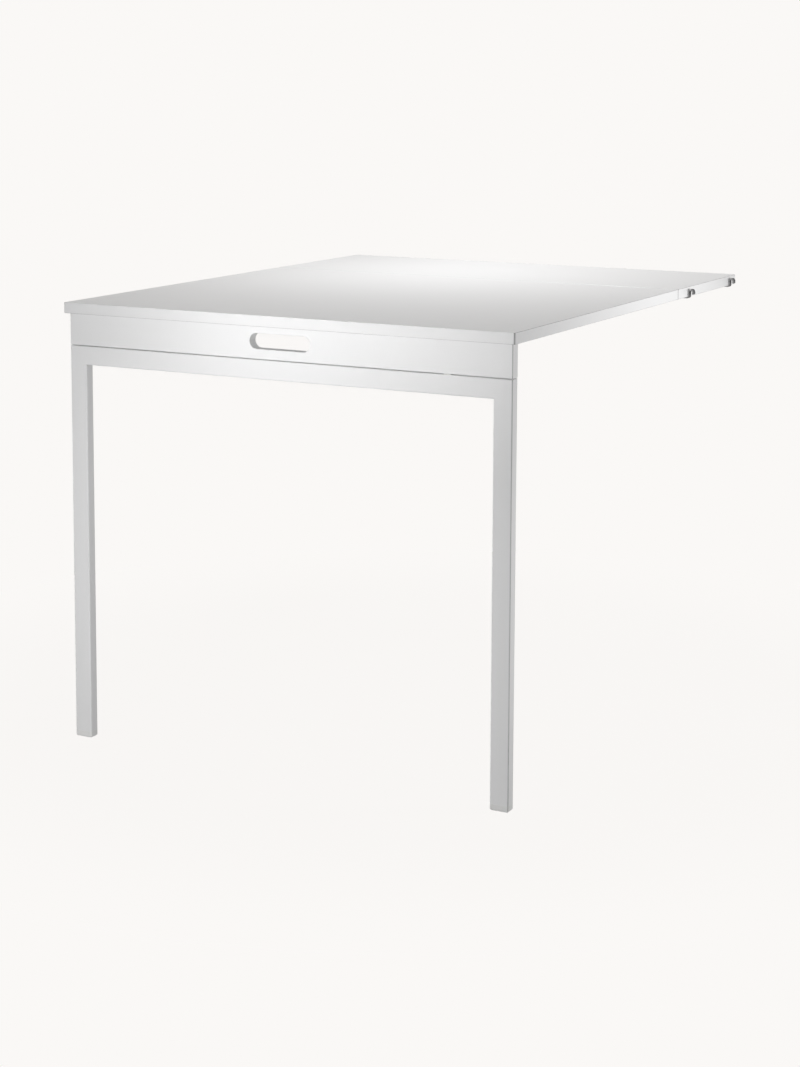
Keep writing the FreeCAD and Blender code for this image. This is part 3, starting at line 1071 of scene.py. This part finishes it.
@dataclass(frozen=True)
class SlottedApron:
    """The board under the leaf's front edge, with its hand slot."""

    node: str = "apron_board"
    edge_radius: float = 0.0015  # of the upright edges
    rim_radius: float = 0.0006  # of the lower edges
    joint_radius: float = 0.0003  # of the edges that meet the leaf
    slot_length: float = 0.105
    slot_height: float = 0.024
    slot_drop: float = 0.011  # below the leaf
    slot_edge_radius: float = 0.0012
    slot_steps: int = 56  # round the slot's two ends together
    edge_steps: int = 4
    flat_turn: float = math.radians(1.0)  # faces that turn less than this are joined

    def draw_slot(self, bm: BMesh, centre: Vector) -> None:
        """Draw the slot's outline: a circle whose two halves are moved apart.

        Args:
            bm: The mesh that takes the outline.
            centre: The slot's middle.
        """
        radius = self.slot_height / 2
        half_step = math.pi / self.slot_steps
        made = bmesh.ops.create_circle(
            bm,
            cap_ends=False,
            segments=self.slot_steps,
            radius=radius / math.cos(half_step),
            matrix=Matrix.Rotation(half_step, 4, "Z"),
        )["verts"]
        reach = self.slot_length / 2 - radius
        for vert in made:
            vert.co.x += math.copysign(reach, vert.co.x)
        bmesh.ops.translate(bm, verts=made, vec=centre)

    def build(self) -> BMesh:
        """Draw the face with the slot's outline, give it thickness and round it.

        Returns:
            The apron.
        """
        extent = Extent.of_node(self.node)
        size = extent.size
        bm = oblong(size.x, size.z)
        bmesh.ops.delete(bm, geom=bm.faces[:], context="FACES_ONLY")
        slot_y = size.z / 2 - self.slot_drop - self.slot_height / 2
        self.draw_slot(bm, Vector((0.0, slot_y, 0.0)))
        bmesh.ops.triangle_fill(bm, use_beauty=True, edges=bm.edges[:])
        bmesh.ops.dissolve_limit(
            bm, angle_limit=self.flat_turn, verts=bm.verts[:], edges=bm.edges[:]
        )
        drawn_out(bm, bm.faces[:], Vector((0.0, 0.0, size.y)))
        back = Vector((extent.middle.x, extent.high.y, extent.middle.z))
        move(bm, Matrix.Translation(back) @ Matrix.Rotation(math.pi / 2, 4, "X"))
        face_out(bm)
        self.round_edges(bm, extent)
        return bm

    def round_edges(self, bm: BMesh, extent: Extent) -> None:
        """Round the slot's rims and the board's edges.

        Args:
            bm: The apron.
            extent: Its extent.
        """
        reach = self.slot_length / 2 + self.slot_edge_radius
        on_slot = [e for e in corner_edges(bm) if all(abs(v.co.x) < reach for v in e.verts)]
        round_off(bm, on_slot, self.slot_edge_radius, self.edge_steps)
        upright = [e for e in corner_edges(bm) if runs_along(e, AXIS_Z)]
        round_off(bm, upright, self.edge_radius, self.edge_steps)
        levels = ((extent.low.z, self.rim_radius), (extent.high.z, self.joint_radius))
        for level, radius in levels:
            rim = [e for e in corner_edges(bm) if lies_at(e, AXIS_Z, level)]
            round_off(bm, rim, radius, self.edge_steps)
        end_x = extent.high.x - self.edge_radius
        # Painted shade: a darker line on the apron's upright end edges.
        mark_arrises(bm, lambda at, normal: abs(at.x) > end_x and abs(normal.z) < MAINLY)


@dataclass(frozen=True)
class TableTop:
    """The shelf board, the leaf, its apron and the dowels between them."""

    shelf: TopBoard = TopBoard("shelf_board", "lacquered_shelf", Body.SHELF, 1)
    leaf: TopBoard = TopBoard("leaf_board", "lacquered_leaf", Body.LEAF, -1)
    apron: SlottedApron = SlottedApron()

    def dress(self, workshop: Workshop) -> None:
        """Build and place the pieces.

        Args:
            workshop: What turns meshes into pieces.
        """
        for board in (self.shelf, self.leaf):
            nodes, edges = [board.node], (LACQUER_PAINTED_SHADE, SEAM_POLISH_AND_PAINTED_HIGHLIGHT)
            workshop.place(
                board.build(), board.name, board.body, SATIN_LACQUER, nodes, edges=edges
            )
        nodes, edges = [self.apron.node], (LACQUER_PAINTED_SHADE,)
        workshop.place(
            self.apron.build(), "slotted_apron", Body.LEAF, SATIN_LACQUER, nodes, edges=edges
        )
        workshop.redress("apron_dowels", RAW_BEECH)


# ---- Leg frame ----


@dataclass(frozen=True)
class TubeStock:
    """Rectangular tube, before it is cut."""

    width: float  # as seen from the front
    depth: float
    wall: float = 0.0015
    corner_radius: float = 0.0022
    corner_steps: int = 6

    def outline(self) -> BMesh:
        """A flat face with the tube's outer outline, centred on the origin.

        Returns:
            The face as a mesh.
        """
        bm = oblong(self.width, self.depth)
        round_off(bm, bm.verts[:], self.corner_radius, self.corner_steps, "VERTICES")
        return bm

    def length(self, run: float, place: Matrix) -> BMesh:
        """Cut a straight length.

        Args:
            run: How long it is.
            place: Where its lower end's middle goes and how the tube is turned.

        Returns:
            The length of tube.
        """
        bm = self.outline()
        inner = bm.faces[:]
        bmesh.ops.inset_region(
            bm, faces=inner, thickness=self.wall, use_boundary=True, use_even_offset=True
        )
        bmesh.ops.delete(bm, geom=inner, context="FACES_ONLY")
        drawn_out(bm, bm.faces[:], Vector((0.0, 0.0, run)))
        move(bm, place)
        return bm


@dataclass(frozen=True)
class FootGlide:
    """The moulded foot that closes an upright."""

    tube: TubeStock
    chamfer: float = 0.002
    plug_clearance: float = 0.0001
    edge_break: float = 0.0003

    def build(self, node: str, height: float) -> BMesh:
        """Build the foot of one node.

        Args:
            node: The node that it stands for.
            height: The height of the part that shows.

        Returns:
            The foot.
        """
        extent = Extent.of_node(node)
        bm = self.tube.outline()
        drawn_out(bm, bm.faces[:], Vector((0.0, 0.0, height)))
        lower = [e for e in bm.edges if lies_at(e, AXIS_Z, 0.0)]
        round_off(bm, lower, self.chamfer, 1)
        top = [f for f in bm.faces if f.calc_center_median().z > height - SAME_PLACE]
        inset = self.tube.wall + self.plug_clearance
        bmesh.ops.inset_region(
            bm, faces=top, thickness=inset, use_boundary=True, use_even_offset=True
        )
        drawn_out(bm, top, Vector((0.0, 0.0, extent.size.z - height)))
        move(bm, Matrix.Translation(extent.foot))
        outer = abs(extent.middle.x) + self.tube.width / 2 - self.tube.corner_radius
        # Painted shade: a darker line on the glide's outer upright edges.
        mark_arrises(bm, lambda at, normal: abs(at.x) > outer and abs(normal.z) < MAINLY)
        return bm


@dataclass(frozen=True)
class LegFrame:
    """The rail, the two uprights, their feet and the pad."""

    pad_radius: float = 0.0001
    pad_bulge: float = 0.0012  # how far the squeezed pad swells out of its gap
    pad_steps: int = 3
    mitre_break: float = 0.00004

    def tube(self) -> TubeStock:
        """The tube of the frame, as wide and deep as an upright."""
        size = Extent.of_node("leg_post_left").size
        return TubeStock(width=size.x, depth=size.y)

    def mitre(self, bm: BMesh, side: Side, keep: float) -> None:
        """Cut one corner of the frame and close the tube's wall there.

        Args:
            bm: The tube.
            side: The corner's side.
            keep: 1 to keep what lies under the cut, or -1 for what lies above.
        """
        rail = Extent.of_node("leg_rail")
        corner_x = rail.high.x if side is Side.RIGHT else rail.low.x
        corner = Vector((corner_x, rail.middle.y, rail.high.z))
        outwards = Vector((-float(side.value), 0.0, 1.0)).normalized() * keep
        bmesh.ops.bridge_loops(bm, edges=cut_across(bm, corner, outwards, True))

    def rail(self) -> BMesh:
        """The tube across the top, mitred at both ends.

        Returns:
            The rail.
        """
        extent = Extent.of_node("leg_rail")
        start = Vector((extent.low.x, extent.middle.y, extent.middle.z))
        bm = self.tube().length(extent.size.x, Matrix.Translation(start) @ Z_TO_X)
        for side in Side:
            self.mitre(bm, side, -1.0)
        return bm

    def post(self, side: Side) -> BMesh:
        """One upright, mitred at its top.

        Args:
            side: Which upright it is.

        Returns:
            The upright.
        """
        extent = Extent.of_node("leg_post_" + side.word)
        tube = self.tube()
        bm = tube.length(extent.size.z, Matrix.Translation(extent.foot))
        self.mitre(bm, side, 1.0)
        outer = abs(extent.middle.x) + tube.width / 2 - tube.corner_radius
        # Painted shade: a darker line on the post's outer rounded edges.
        mark_arrises(bm, lambda at, normal: abs(at.x) > outer)
        return bm

    def pad(self) -> BMesh:
        """The pad, squeezed a little way out of its gap.

        Returns:
            The pad.
        """
        bm = block(Extent.of_node("gap_pad"))
        bm.normal_update()
        front = [f for f in bm.faces if f.normal.y < -STRAIGHT]
        drawn_out(bm, front, AXIS_Y * -self.pad_bulge)
        round_off(bm, bm.edges[:], self.pad_radius, self.pad_steps)
        return bm

    def dress(self, workshop: Workshop) -> None:
        """Build and place the pieces.

        Args:
            workshop: What turns meshes into pieces.
        """
        body, mitre_break = Body.LEG_FRAME, self.mitre_break
        workshop.place(self.rail(), "coated_rail", body, POWDER_COAT, ["leg_rail"], mitre_break)
        glide = FootGlide(self.tube())
        for side in Side:
            node, name = "leg_post_" + side.word, "coated_post_" + side.word
            height = Extent.of_node(node).low.z
            edges: tuple[Finish, ...] = (COAT_PAINTED_SHADE,)
            workshop.place(
                self.post(side), name, body, POWDER_COAT, [node], mitre_break, edges
            )
            node, name = "foot_glide_" + side.word, "moulded_glide_" + side.word
            bm, edges = glide.build(node, height), (PLASTIC_PAINTED_SHADE,)
            workshop.place(bm, name, body, MOULDED_PLASTIC, [node], glide.edge_break, edges)
        workshop.place(self.pad(), "rail_pad", body, SOFT_PAD, ["gap_pad"])


# ---- Screws ----


@dataclass(frozen=True)
class PanHeadScrew:
    """A pan head screw with a cross recess, that points along +Z from its seat."""

    radius: float = 0.0019  # of the shank
    length: float = 0.013  # of the shank with its point
    point_length: float = 0.0025
    head_radius: float = 0.0036
    head_height: float = 0.002
    dome_radius: float = 0.0012  # of the rounding of the head's rim
    dome_steps: int = 5
    cap_share: float = 1.15  # the radius of the head's flat middle, over an arm's length
    recess_length: float = 0.0036  # of two arms in line
    recess_width: float = 0.0008
    recess_depth: float = 0.0011
    recess_taper: float = 0.45  # how much smaller the recess's bottom is, as a share
    corner_share: float = 0.68  # how far out the land between two arms reaches
    steps: int = 24

    def build(self) -> BMesh:
        """Turn the shank and head and sink the recess.

        Returns:
            The screw.
        """
        dome = (self.head_radius - self.dome_radius, self.dome_radius - self.head_height)
        profile = [
            (0.0, self.length),
            (self.radius, self.length - self.point_length),
            (self.radius, 0.0),
            (self.head_radius, 0.0),
            *arc_points(dome, self.dome_radius, 0.0, -90.0, self.dome_steps),
            (self.recess_length / 2 * self.cap_share, -self.head_height),
        ]
        bm = lathed(profile, self.steps)
        self.sink_recess(bm)
        face_out(bm)
        return bm

    def sink_recess(self, bm: BMesh) -> None:
        """Close the open middle of the head round a cross, and sink the cross.

        Args:
            bm: The screw, open in the middle of its head.
        """
        half_length = self.recess_length / 2
        half_width = self.recess_width / 2
        level = Matrix.Translation((0.0, 0.0, -self.head_height))
        cross = bmesh.ops.create_grid(
            bm, x_segments=3, y_segments=3, size=half_length, matrix=level
        )["verts"]
        for vert in cross:
            at_end = [abs(part) > half_length - SAME_PLACE for part in vert.co.xy]
            for axis in (0, 1):
                if all(at_end):
                    vert.co[axis] *= self.corner_share
                elif not at_end[axis]:
                    vert.co[axis] = math.copysign(half_width, vert.co[axis])
        faces = dict.fromkeys(face for vert in cross for face in vert.link_faces)
        arms = [f for f in faces if min(map(abs, f.calc_center_median().xy)) < half_width]
        open_edges = [e for e in bm.edges if e.is_boundary]
        bmesh.ops.triangle_fill(bm, use_beauty=True, edges=open_edges)
        bottom = drawn_out(bm, arms, AXIS_Z * self.recess_depth)
        verts = list(dict.fromkeys(vert for face in bottom for vert in face.verts))
        shrink = 1.0 - self.recess_taper
        bmesh.ops.scale(bm, verts=verts, vec=Vector((shrink, shrink, 1.0)))


# ---- Hooks ----


@dataclass(frozen=True)
class LadderHook:
    """A hook bent from flat strip, that hangs the shelf on a ladder's rung."""

    thickness: float = 0.0025
    rung_radius: float = 0.0025  # inside, over the rung
    bend_radius: float = 0.0006  # inside, at the board's lower edge
    lip_length: float = 0.004  # of the straight end past the rung
    strip_radius: float = 0.0004  # of the strip's long edges
    strip_steps: int = 3
    bend_steps: int = 8
    rung_steps: int = 24
    tip_margin: float = 0.008  # from the foot's end to the inner screw
    root_margin: float = 0.018  # from the board's end to the outer screw
    edge_break: float = 0.00025

    def build(self, node: str) -> BMesh:
        """Bend one right hand hook.

        Args:
            node: The right hand node whose place it takes.

        Returns:
            The hook.
        """
        extent = Extent.of_node(node)
        board_end = Extent.of_node("shelf_board").high.x
        over_z = extent.high.z - self.thickness - self.rung_radius
        bm = oblong(self.thickness, extent.size.y)
        round_off(bm, bm.verts[:], self.strip_radius, self.strip_steps, "VERTICES")
        start = Vector((extent.low.x, extent.middle.y, extent.low.z + self.thickness / 2))
        move(bm, Matrix.Translation(start) @ Z_TO_X)
        bend_x = board_end - self.bend_radius
        bend = Vector((bend_x, 0.0, extent.low.z + self.thickness + self.bend_radius))
        tip = drawn_out(bm, bm.faces[:], AXIS_X * (bend_x - extent.low.x))
        tip = bent_round(bm, tip, bend, -AXIS_Y, math.pi / 2, self.bend_steps)
        tip = drawn_out(bm, tip, AXIS_Z * (over_z - bend.z))
        rung = Vector((board_end + self.thickness + self.rung_radius, 0.0, over_z))
        tip = bent_round(bm, tip, rung, AXIS_Y, math.pi, self.rung_steps)
        drawn_out(bm, tip, AXIS_Z * -self.lip_length)
        face_out(bm)
        # The strip's cut edges: bare sheared steel, made lighter also as a painted reflection of
        # the front light.
        for face in bm.faces:
            if abs(face.normal.y) > MAINLY:
                face.material_index = 1
        return bm

    def screw_places(self, node: str) -> list[Matrix]:
        """Where the screws of one right hand hook go.

        Args:
            node: The right hand node.

        Returns:
            A place for each screw.
        """
        extent = Extent.of_node(node)
        board_end = Extent.of_node("shelf_board").high.x
        places = (extent.low.x + self.tip_margin, board_end - self.root_margin)
        return [Matrix.Translation((x, extent.foot.y, extent.foot.z)) for x in places]


@dataclass(frozen=True)
class HookSet:
    """The four hooks with their screws."""

    hook: LadderHook = LadderHook()
    screw: PanHeadScrew = PanHeadScrew()
    rows: tuple[str, str] = ("front", "back")

    def dress(self, workshop: Workshop) -> None:
        """Build and place the pieces.

        Args:
            workshop: What turns meshes into pieces.
        """
        places: list[Matrix] = []
        for row in self.rows:
            right = "hook_right_" + row
            places += self.hook.screw_places(right)
            for side in Side:
                node, edges = f"hook_{side.word}_{row}", (SHEARED_STEEL_AND_PAINTED_GLINT,)
                bm, edge_break = self.hook.build(right), self.hook.edge_break
                if side is Side.LEFT:
                    mirror(bm, AXIS_X)
                name = "bent_" + node
                workshop.place(
                    bm, name, Body.SHELF, BLACKENED_STEEL, [node], edge_break, edges
                )
        across = Matrix.Scale(-1.0, 4, AXIS_X)
        places += [Matrix.Translation(across @ place.translation) for place in places]
        screws = copies(self.screw.build(), places)
        workshop.place(screws, "hook_pan_screws", Body.SHELF, ZINC_PLATE, ["hook_screws"])


# ---- Hinges ----


@dataclass(frozen=True)
class HingePlate:
    """What one plate of a hinge is called, what it rides on and its screws' length."""

    word: str
    body: Body
    screw_length: float


@dataclass(frozen=True)
class RolledHinge:
    """A butt hinge with knuckles rolled from its plates.

    It is built with its pin on the X axis and its mounting face above. The fixed
    plate reaches out along +Y and the moving plate along -Y.
    """

    prefix: str  # how the nodes' names start
    fixed: HingePlate
    moving: HingePlate
    count: int  # how many such hinges there are
    turn: float  # how the mounting face is turned about X, in degrees
    knuckles: int
    screws: int  # on each plate
    thickness: float  # of the plates
    corner_radius: float = 0.003
    corner_steps: int = 6
    screw_margin: float = 0.010  # from the plate's ends
    knuckle_gap: float = 0.0004  # between two knuckles, and between plate and barrel
    roll_angle: float = 292.0  # of a knuckle, in degrees
    roll_steps: int = 22
    head_height: float = 0.0012  # of the pin
    head_lip: float = 0.001  # how far the pin's head reaches past its shank
    dome_share: float = 0.7  # the share of the head's height that is rounded
    dome_steps: int = 4
    pin_steps: int = 32
    edge_break: float = 0.00025

    def node(self, word: str, number: int) -> str:
        """The name of one node of one hinge."""
        return f"{self.prefix}_{word}_{number}"

    def place(self, number: int) -> Matrix:
        """Where a hinge's own frame goes."""
        pin = Extent.of_node(self.node("pin", number)).middle
        return Matrix.Translation(pin) @ Matrix.Rotation(math.radians(self.turn), 4, "X")

    def local(self, node: str, number: int) -> Extent:
        """The extent of a node in its hinge's own frame.

        Args:
            node: The node's name.
            number: The hinge's number.

        Returns:
            The extent.
        """
        extent = Extent.of_node(node)
        back = self.place(number).inverted()
        ends = [back @ extent.low, back @ extent.high]
        low = Vector(min(values) for values in zip(*ends))
        high = Vector(max(values) for values in zip(*ends))
        return Extent(low, high)

    def knuckle_spans(self, length: float, plate: Plate) -> list[tuple[float, float]]:
        """Where each knuckle of one plate starts and stops along the pin.

        Args:
            length: The hinge's length.
            plate: Which plate it is; they take turns, and the fixed one is first.

        Returns:
            The start and stop of each knuckle.
        """
        pitch = length / self.knuckles
        spans = []
        for index in range(0 if plate is Plate.FIXED else 1, self.knuckles, 2):
            start = -length / 2 + pitch * index
            stop = start + pitch
            start += self.knuckle_gap / 2 if index > 0 else 0.0
            stop -= self.knuckle_gap / 2 if index < self.knuckles - 1 else 0.0
            spans.append((start, stop))
        return spans

    def build_plate(self, local: Extent, plate: Plate) -> BMesh:
        """Build one plate with its rolled knuckles.

        Args:
            local: The fixed plate's extent in the hinge's own frame.
            plate: Which plate it is.

        Returns:
            The plate, in the hinge's own frame.
        """
        barrel, drop = -local.low.z, local.high.z
        start_y, length = barrel + self.knuckle_gap, local.size.x
        low = Vector((-length / 2, start_y, drop - self.thickness))
        high = Vector((length / 2, local.high.y, drop))
        bm = block(Extent(low, high))
        upright = [e for e in bm.edges if runs_along(e, AXIS_Z)]
        corners = [e for e in upright if lies_at(e, AXIS_Y, local.high.y)]
        round_off(bm, corners, self.corner_radius, self.corner_steps)
        spans = self.knuckle_spans(length, plate)
        for cut in sorted({x for span in spans for x in span}):
            if abs(cut) < length / 2 - SAME_PLACE:
                cut_across(bm, AXIS_X * cut, AXIS_X, False)
        joggle = Vector((0.0, -start_y, barrel - drop))
        for start, stop in spans:
            edge = [f for f in bm.faces if abs(f.calc_center_median().y - start_y) < SAME_PLACE]
            roots = [f for f in edge if start < f.calc_center_median().x < stop]
            tip = drawn_out(bm, roots, joggle)
            bent_round(bm, tip, ORIGIN, AXIS_X, math.radians(self.roll_angle), self.roll_steps)
        face_out(bm)
        if plate is Plate.MOVING:
            mirror(bm, AXIS_Y)
        return bm

    def build_pin(self, local: Extent) -> BMesh:
        """Turn the pin, with a low domed head on each end.

        Args:
            local: The pin's extent in the hinge's own frame.

        Returns:
            The pin, in that frame.
        """
        half = local.size.x / 2
        neck = half - self.head_height
        head_radius = local.size.z / 2
        shank_radius = head_radius - self.head_lip
        dome = self.head_height * self.dome_share
        top = arc_points((head_radius - dome, half - dome), dome, 0.0, 90.0, self.dome_steps)
        upper = [(shank_radius, neck), (head_radius, neck), *top, (0.0, half)]
        lower = [(radius, -height) for radius, height in reversed(upper)]
        bm = lathed([*lower, *upper], self.pin_steps)
        move(bm, Z_TO_X)
        return bm

    def screw_places(self, local: Extent, plate: Plate) -> list[Matrix]:
        """Where one plate's screws go, in the hinge's own frame.

        Args:
            local: The fixed plate's extent in the hinge's own frame.
            plate: Which plate it is.

        Returns:
            A place for each screw.
        """
        barrel = -local.low.z
        middle = plate.value * (barrel + self.knuckle_gap + local.high.y) / 2
        end = local.size.x / 2 - self.screw_margin
        seat = local.high.z - self.thickness
        return [Matrix.Translation((x, middle, seat)) for x in evenly(-end, end, self.screws)]

    def dress(self, workshop: Workshop) -> None:
        """Build and place the pieces of every hinge.

        Args:
            workshop: What turns meshes into pieces.
        """
        plates = ((Plate.FIXED, self.fixed), (Plate.MOVING, self.moving))
        seats: dict[Plate, list[Matrix]] = {Plate.FIXED: [], Plate.MOVING: []}
        for number in range(1, self.count + 1):
            place = self.place(number)
            local = self.local(self.node(self.fixed.word, number), number)
            for plate, kind in plates:
                node = self.node(kind.word, number)
                bm, name = self.build_plate(local, plate), "rolled_" + node
                move(bm, place)
                workshop.place(bm, name, kind.body, HINGE_STEEL, [node], self.edge_break)
                seats[plate] += [place @ seat for seat in self.screw_places(local, plate)]
            node = self.node("pin", number)
            pin = self.build_pin(self.local(node, number))
            move(pin, place)
            workshop.place(pin, "domed_" + node, self.fixed.body, HINGE_STEEL, [node])
        for plate, kind in plates:
            screws = copies(PanHeadScrew(length=kind.screw_length).build(), seats[plate])
            start = f"{self.prefix}_{kind.word.removesuffix('_plate')}"
            name, nodes = start + "_pan_screws", [start + "_screws"]
            workshop.place(screws, name, kind.body, ZINC_PLATE, nodes)


LEAF_HINGES = RolledHinge(
    prefix="leaf_hinge",
    fixed=HingePlate("shelf_plate", Body.SHELF, 0.013),
    moving=HingePlate("leaf_plate", Body.LEAF, 0.013),
    count=3,
    turn=0.0,
    knuckles=5,
    screws=3,
    thickness=0.003,
)
LEG_HINGES = RolledHinge(
    prefix="leg_hinge",
    fixed=HingePlate("apron_plate", Body.LEAF, 0.013),
    moving=HingePlate("rail_plate", Body.LEG_FRAME, 0.008),
    count=2,
    turn=90.0,
    knuckles=3,
    screws=2,
    thickness=0.002,
)


# ---- Studio ----


@dataclass(frozen=True)
class SoftBox:
    """An area lamp that the camera doesn't see."""

    name: str
    centre: Point
    aim: Point
    width: float
    height: float
    power: float  # in watts
    spread: float = 180.0  # how widely it throws its light, in degrees
    in_gloss: bool = False  # whether glossy surfaces mirror it

    def build(self) -> None:
        """Hang the lamp."""
        light = bpy.data.lights.new(self.name, "AREA")
        light.shape = "RECTANGLE"
        light.size = self.width
        light.size_y = self.height
        light.energy = self.power
        light.spread = math.radians(self.spread)
        lamp = add_object(self.name, light)
        facing = Vector(self.aim) - Vector(self.centre)
        turn = facing.to_track_quat("-Z", "Y").to_matrix().to_4x4()
        lamp.matrix_world = Matrix.Translation(self.centre) @ turn
        lamp.visible_camera = False
        lamp.visible_glossy = self.in_gloss
        log.info("%s: %.2f W", self.name, self.power)


@dataclass(frozen=True)
class Studio:
    """The pale floor, the room's light and the lamps."""

    backdrop: Colour = (0.956, 0.939, 0.922)
    room_light: float = 0.25
    floor_radius: float = 30.0
    floor_steps: int = 64
    floor_bounce: float = 0.8  # the share of light that the floor gives back
    shadow_share: float = 0.03  # the share of lit floor in what shows, for the shadow
    fade: tuple[float, float] = (0.62, 1.1)  # how far out the lit floor starts and stops fading
    lamps: tuple[SoftBox, ...] = (
        SoftBox("front_tall", (-0.05, -2.4, 0.65), (-0.05, 0.0, 0.65), 0.2, 1.28, 1.82, 45.0),
        SoftBox("front_low", (-0.05, -2.4, 0.15), (-0.05, 0.0, 0.15), 0.2, 0.28, 0.77, 45.0),
        SoftBox("front_slim", (0.1, -1.0, 0.74), (0.1, 0.0, 0.66), 0.5, 0.05, 0.062, 40.0),
        SoftBox("corner_slim", (0.42, -1.1, 0.72), (0.42, 0.0, 0.66), 0.2, 0.05, 0.018, 35.0),
        SoftBox("front_high", (0.03, -0.95, 1.05), (0.03, 0.0, 1.05), 0.08, 0.45, 0.32),
        SoftBox("end_wide", (1.25, 0.1, 0.7), (0.0, 0.1, 0.7), 0.2, 0.6, 3.96),
        SoftBox("end_flat", (1.25, 0.15, 0.7), (0.0, 0.15, 0.7), 0.2, 0.3, 0.57, 90.0),
        SoftBox("leg_side", (0.95, -0.463, 0.27), (0.38, -0.463, 0.27), 0.03, 0.52, 0.12, 75.0),
        SoftBox("top_box", (-0.08, 0.33, 1.55), (-0.08, 0.33, 0.7), 0.3, 0.6, 2.84, 120.0, True),
    )

    def shown(self, sheet: NodeSheet) -> Socket:
        """One for rays that show the backdrop, from the camera, gloss and glass.

        Args:
            sheet: The nodes that need it.

        Returns:
            The socket that carries it.
        """
        path = sheet.add("ShaderNodeLightPath").outputs
        either = sheet.maths("MAXIMUM", path["Is Camera Ray"], path["Is Glossy Ray"])
        return sheet.maths("MAXIMUM", either, path["Is Transmission Ray"])

    def light_room(self) -> None:
        """Set the world: the backdrop where it shows, else a plain light."""
        world = bpy.data.worlds.new("pale_room")
        world.use_nodes = True
        sheet = NodeSheet(world.node_tree)
        white = {"Color": (1.0, 1.0, 1.0, 1.0), "Strength": self.room_light}
        light = sheet.first("ShaderNodeBackground", white)
        pale = {"Color": (*self.backdrop, 1.0), "Strength": 1.0}
        backdrop = sheet.first("ShaderNodeBackground", pale)
        mixed = sheet.shared(self.shown(sheet), light, backdrop)
        sheet.add("ShaderNodeOutputWorld", {"Surface": mixed})
        bpy.context.scene.world = world

    def floor_material(self) -> bpy.types.Material:
        """The floor: plain for other light, near the backdrop where it shows.

        Returns:
            The material.
        """
        sheet = MaterialSheet("pale_floor")
        pale = (*self.backdrop, 1.0)
        bounce = (*(self.floor_bounce,) * 3, 1.0)
        plain = sheet.first("ShaderNodeBsdfDiffuse", {"Color": bounce})
        lit = sheet.first("ShaderNodeBsdfDiffuse", {"Color": pale})
        glow = sheet.first("ShaderNodeEmission", {"Color": pale, "Strength": 1.0})
        length = sheet.add("ShaderNodeVectorMath", {0: sheet.place}, operation="LENGTH")
        to = (self.shadow_share, 0.0)
        near = sheet.mapped(
            length.outputs["Value"], self.fade, to, interpolation_type="SMOOTHSTEP"
        )
        seen = sheet.shared(near, glow, lit)
        return sheet.end(sheet.shared(self.shown(sheet), plain, seen))

    def lay_floor(self) -> None:
        bm = bmesh.new()
        bmesh.ops.create_circle(
            bm, cap_ends=True, segments=self.floor_steps, radius=self.floor_radius
        )
        mesh = finished_mesh(bm, "pale_floor")
        mesh.materials.append(self.floor_material())
        floor = add_object("pale_floor", mesh)

    def build(self) -> None:
        """Set up the room, the floor and the lamps."""
        self.light_room()
        self.lay_floor()
        for lamp in self.lamps:
            lamp.build()
        bpy.context.scene.view_settings.view_transform = "Standard"


@dataclass(frozen=True)
class TableCamera:
    """The camera, at the front right and a little above the top."""

    position: Point = (1.624, -3.2058, 1.0854)
    azimuth: float = 27.462  # to the left of straight at the wall, in degrees
    dip: float = 6.924  # how far it looks down, in degrees
    roll: float = 0.244  # how far it leans, in degrees
    lens: float = 72.16
    sensor: float = 36.0  # on the picture's long side
    shift_y: float = -0.20  # how far its window is moved, as a share of the long side
    reach: tuple[float, float] = (0.05, 200.0)  # the nearest and farthest that it sees

    def build(self) -> None:
        """Make the camera and give it to the scene."""
        data = bpy.data.cameras.new("table_camera")
        data.sensor_width = self.sensor
        data.lens = self.lens
        data.shift_y = self.shift_y
        data.clip_start, data.clip_end = self.reach
        camera = add_object("table_camera", data)
        aim = Matrix.Rotation(math.radians(self.azimuth), 4, "Z")
        tilt = Matrix.Rotation(math.radians(90.0 - self.dip), 4, "X")
        lean = Matrix.Rotation(math.radians(self.roll), 4, "Z")
        camera.matrix_world = Matrix.Translation(self.position) @ aim @ tilt @ lean
        bpy.context.scene.camera = camera


def main() -> None:
    """Build the camera, the studio and every piece of the table, in order."""
    logging.basicConfig(level=logging.INFO, format="%(message)s")
    TableCamera().build()
    Studio().build()
    EFFECTS.build()
    workshop = Workshop()
    for part in (TableTop(), LegFrame(), HookSet(), LEAF_HINGES, LEG_HINGES):
        part.dress(workshop)


if __name__ == "__main__":
    main()
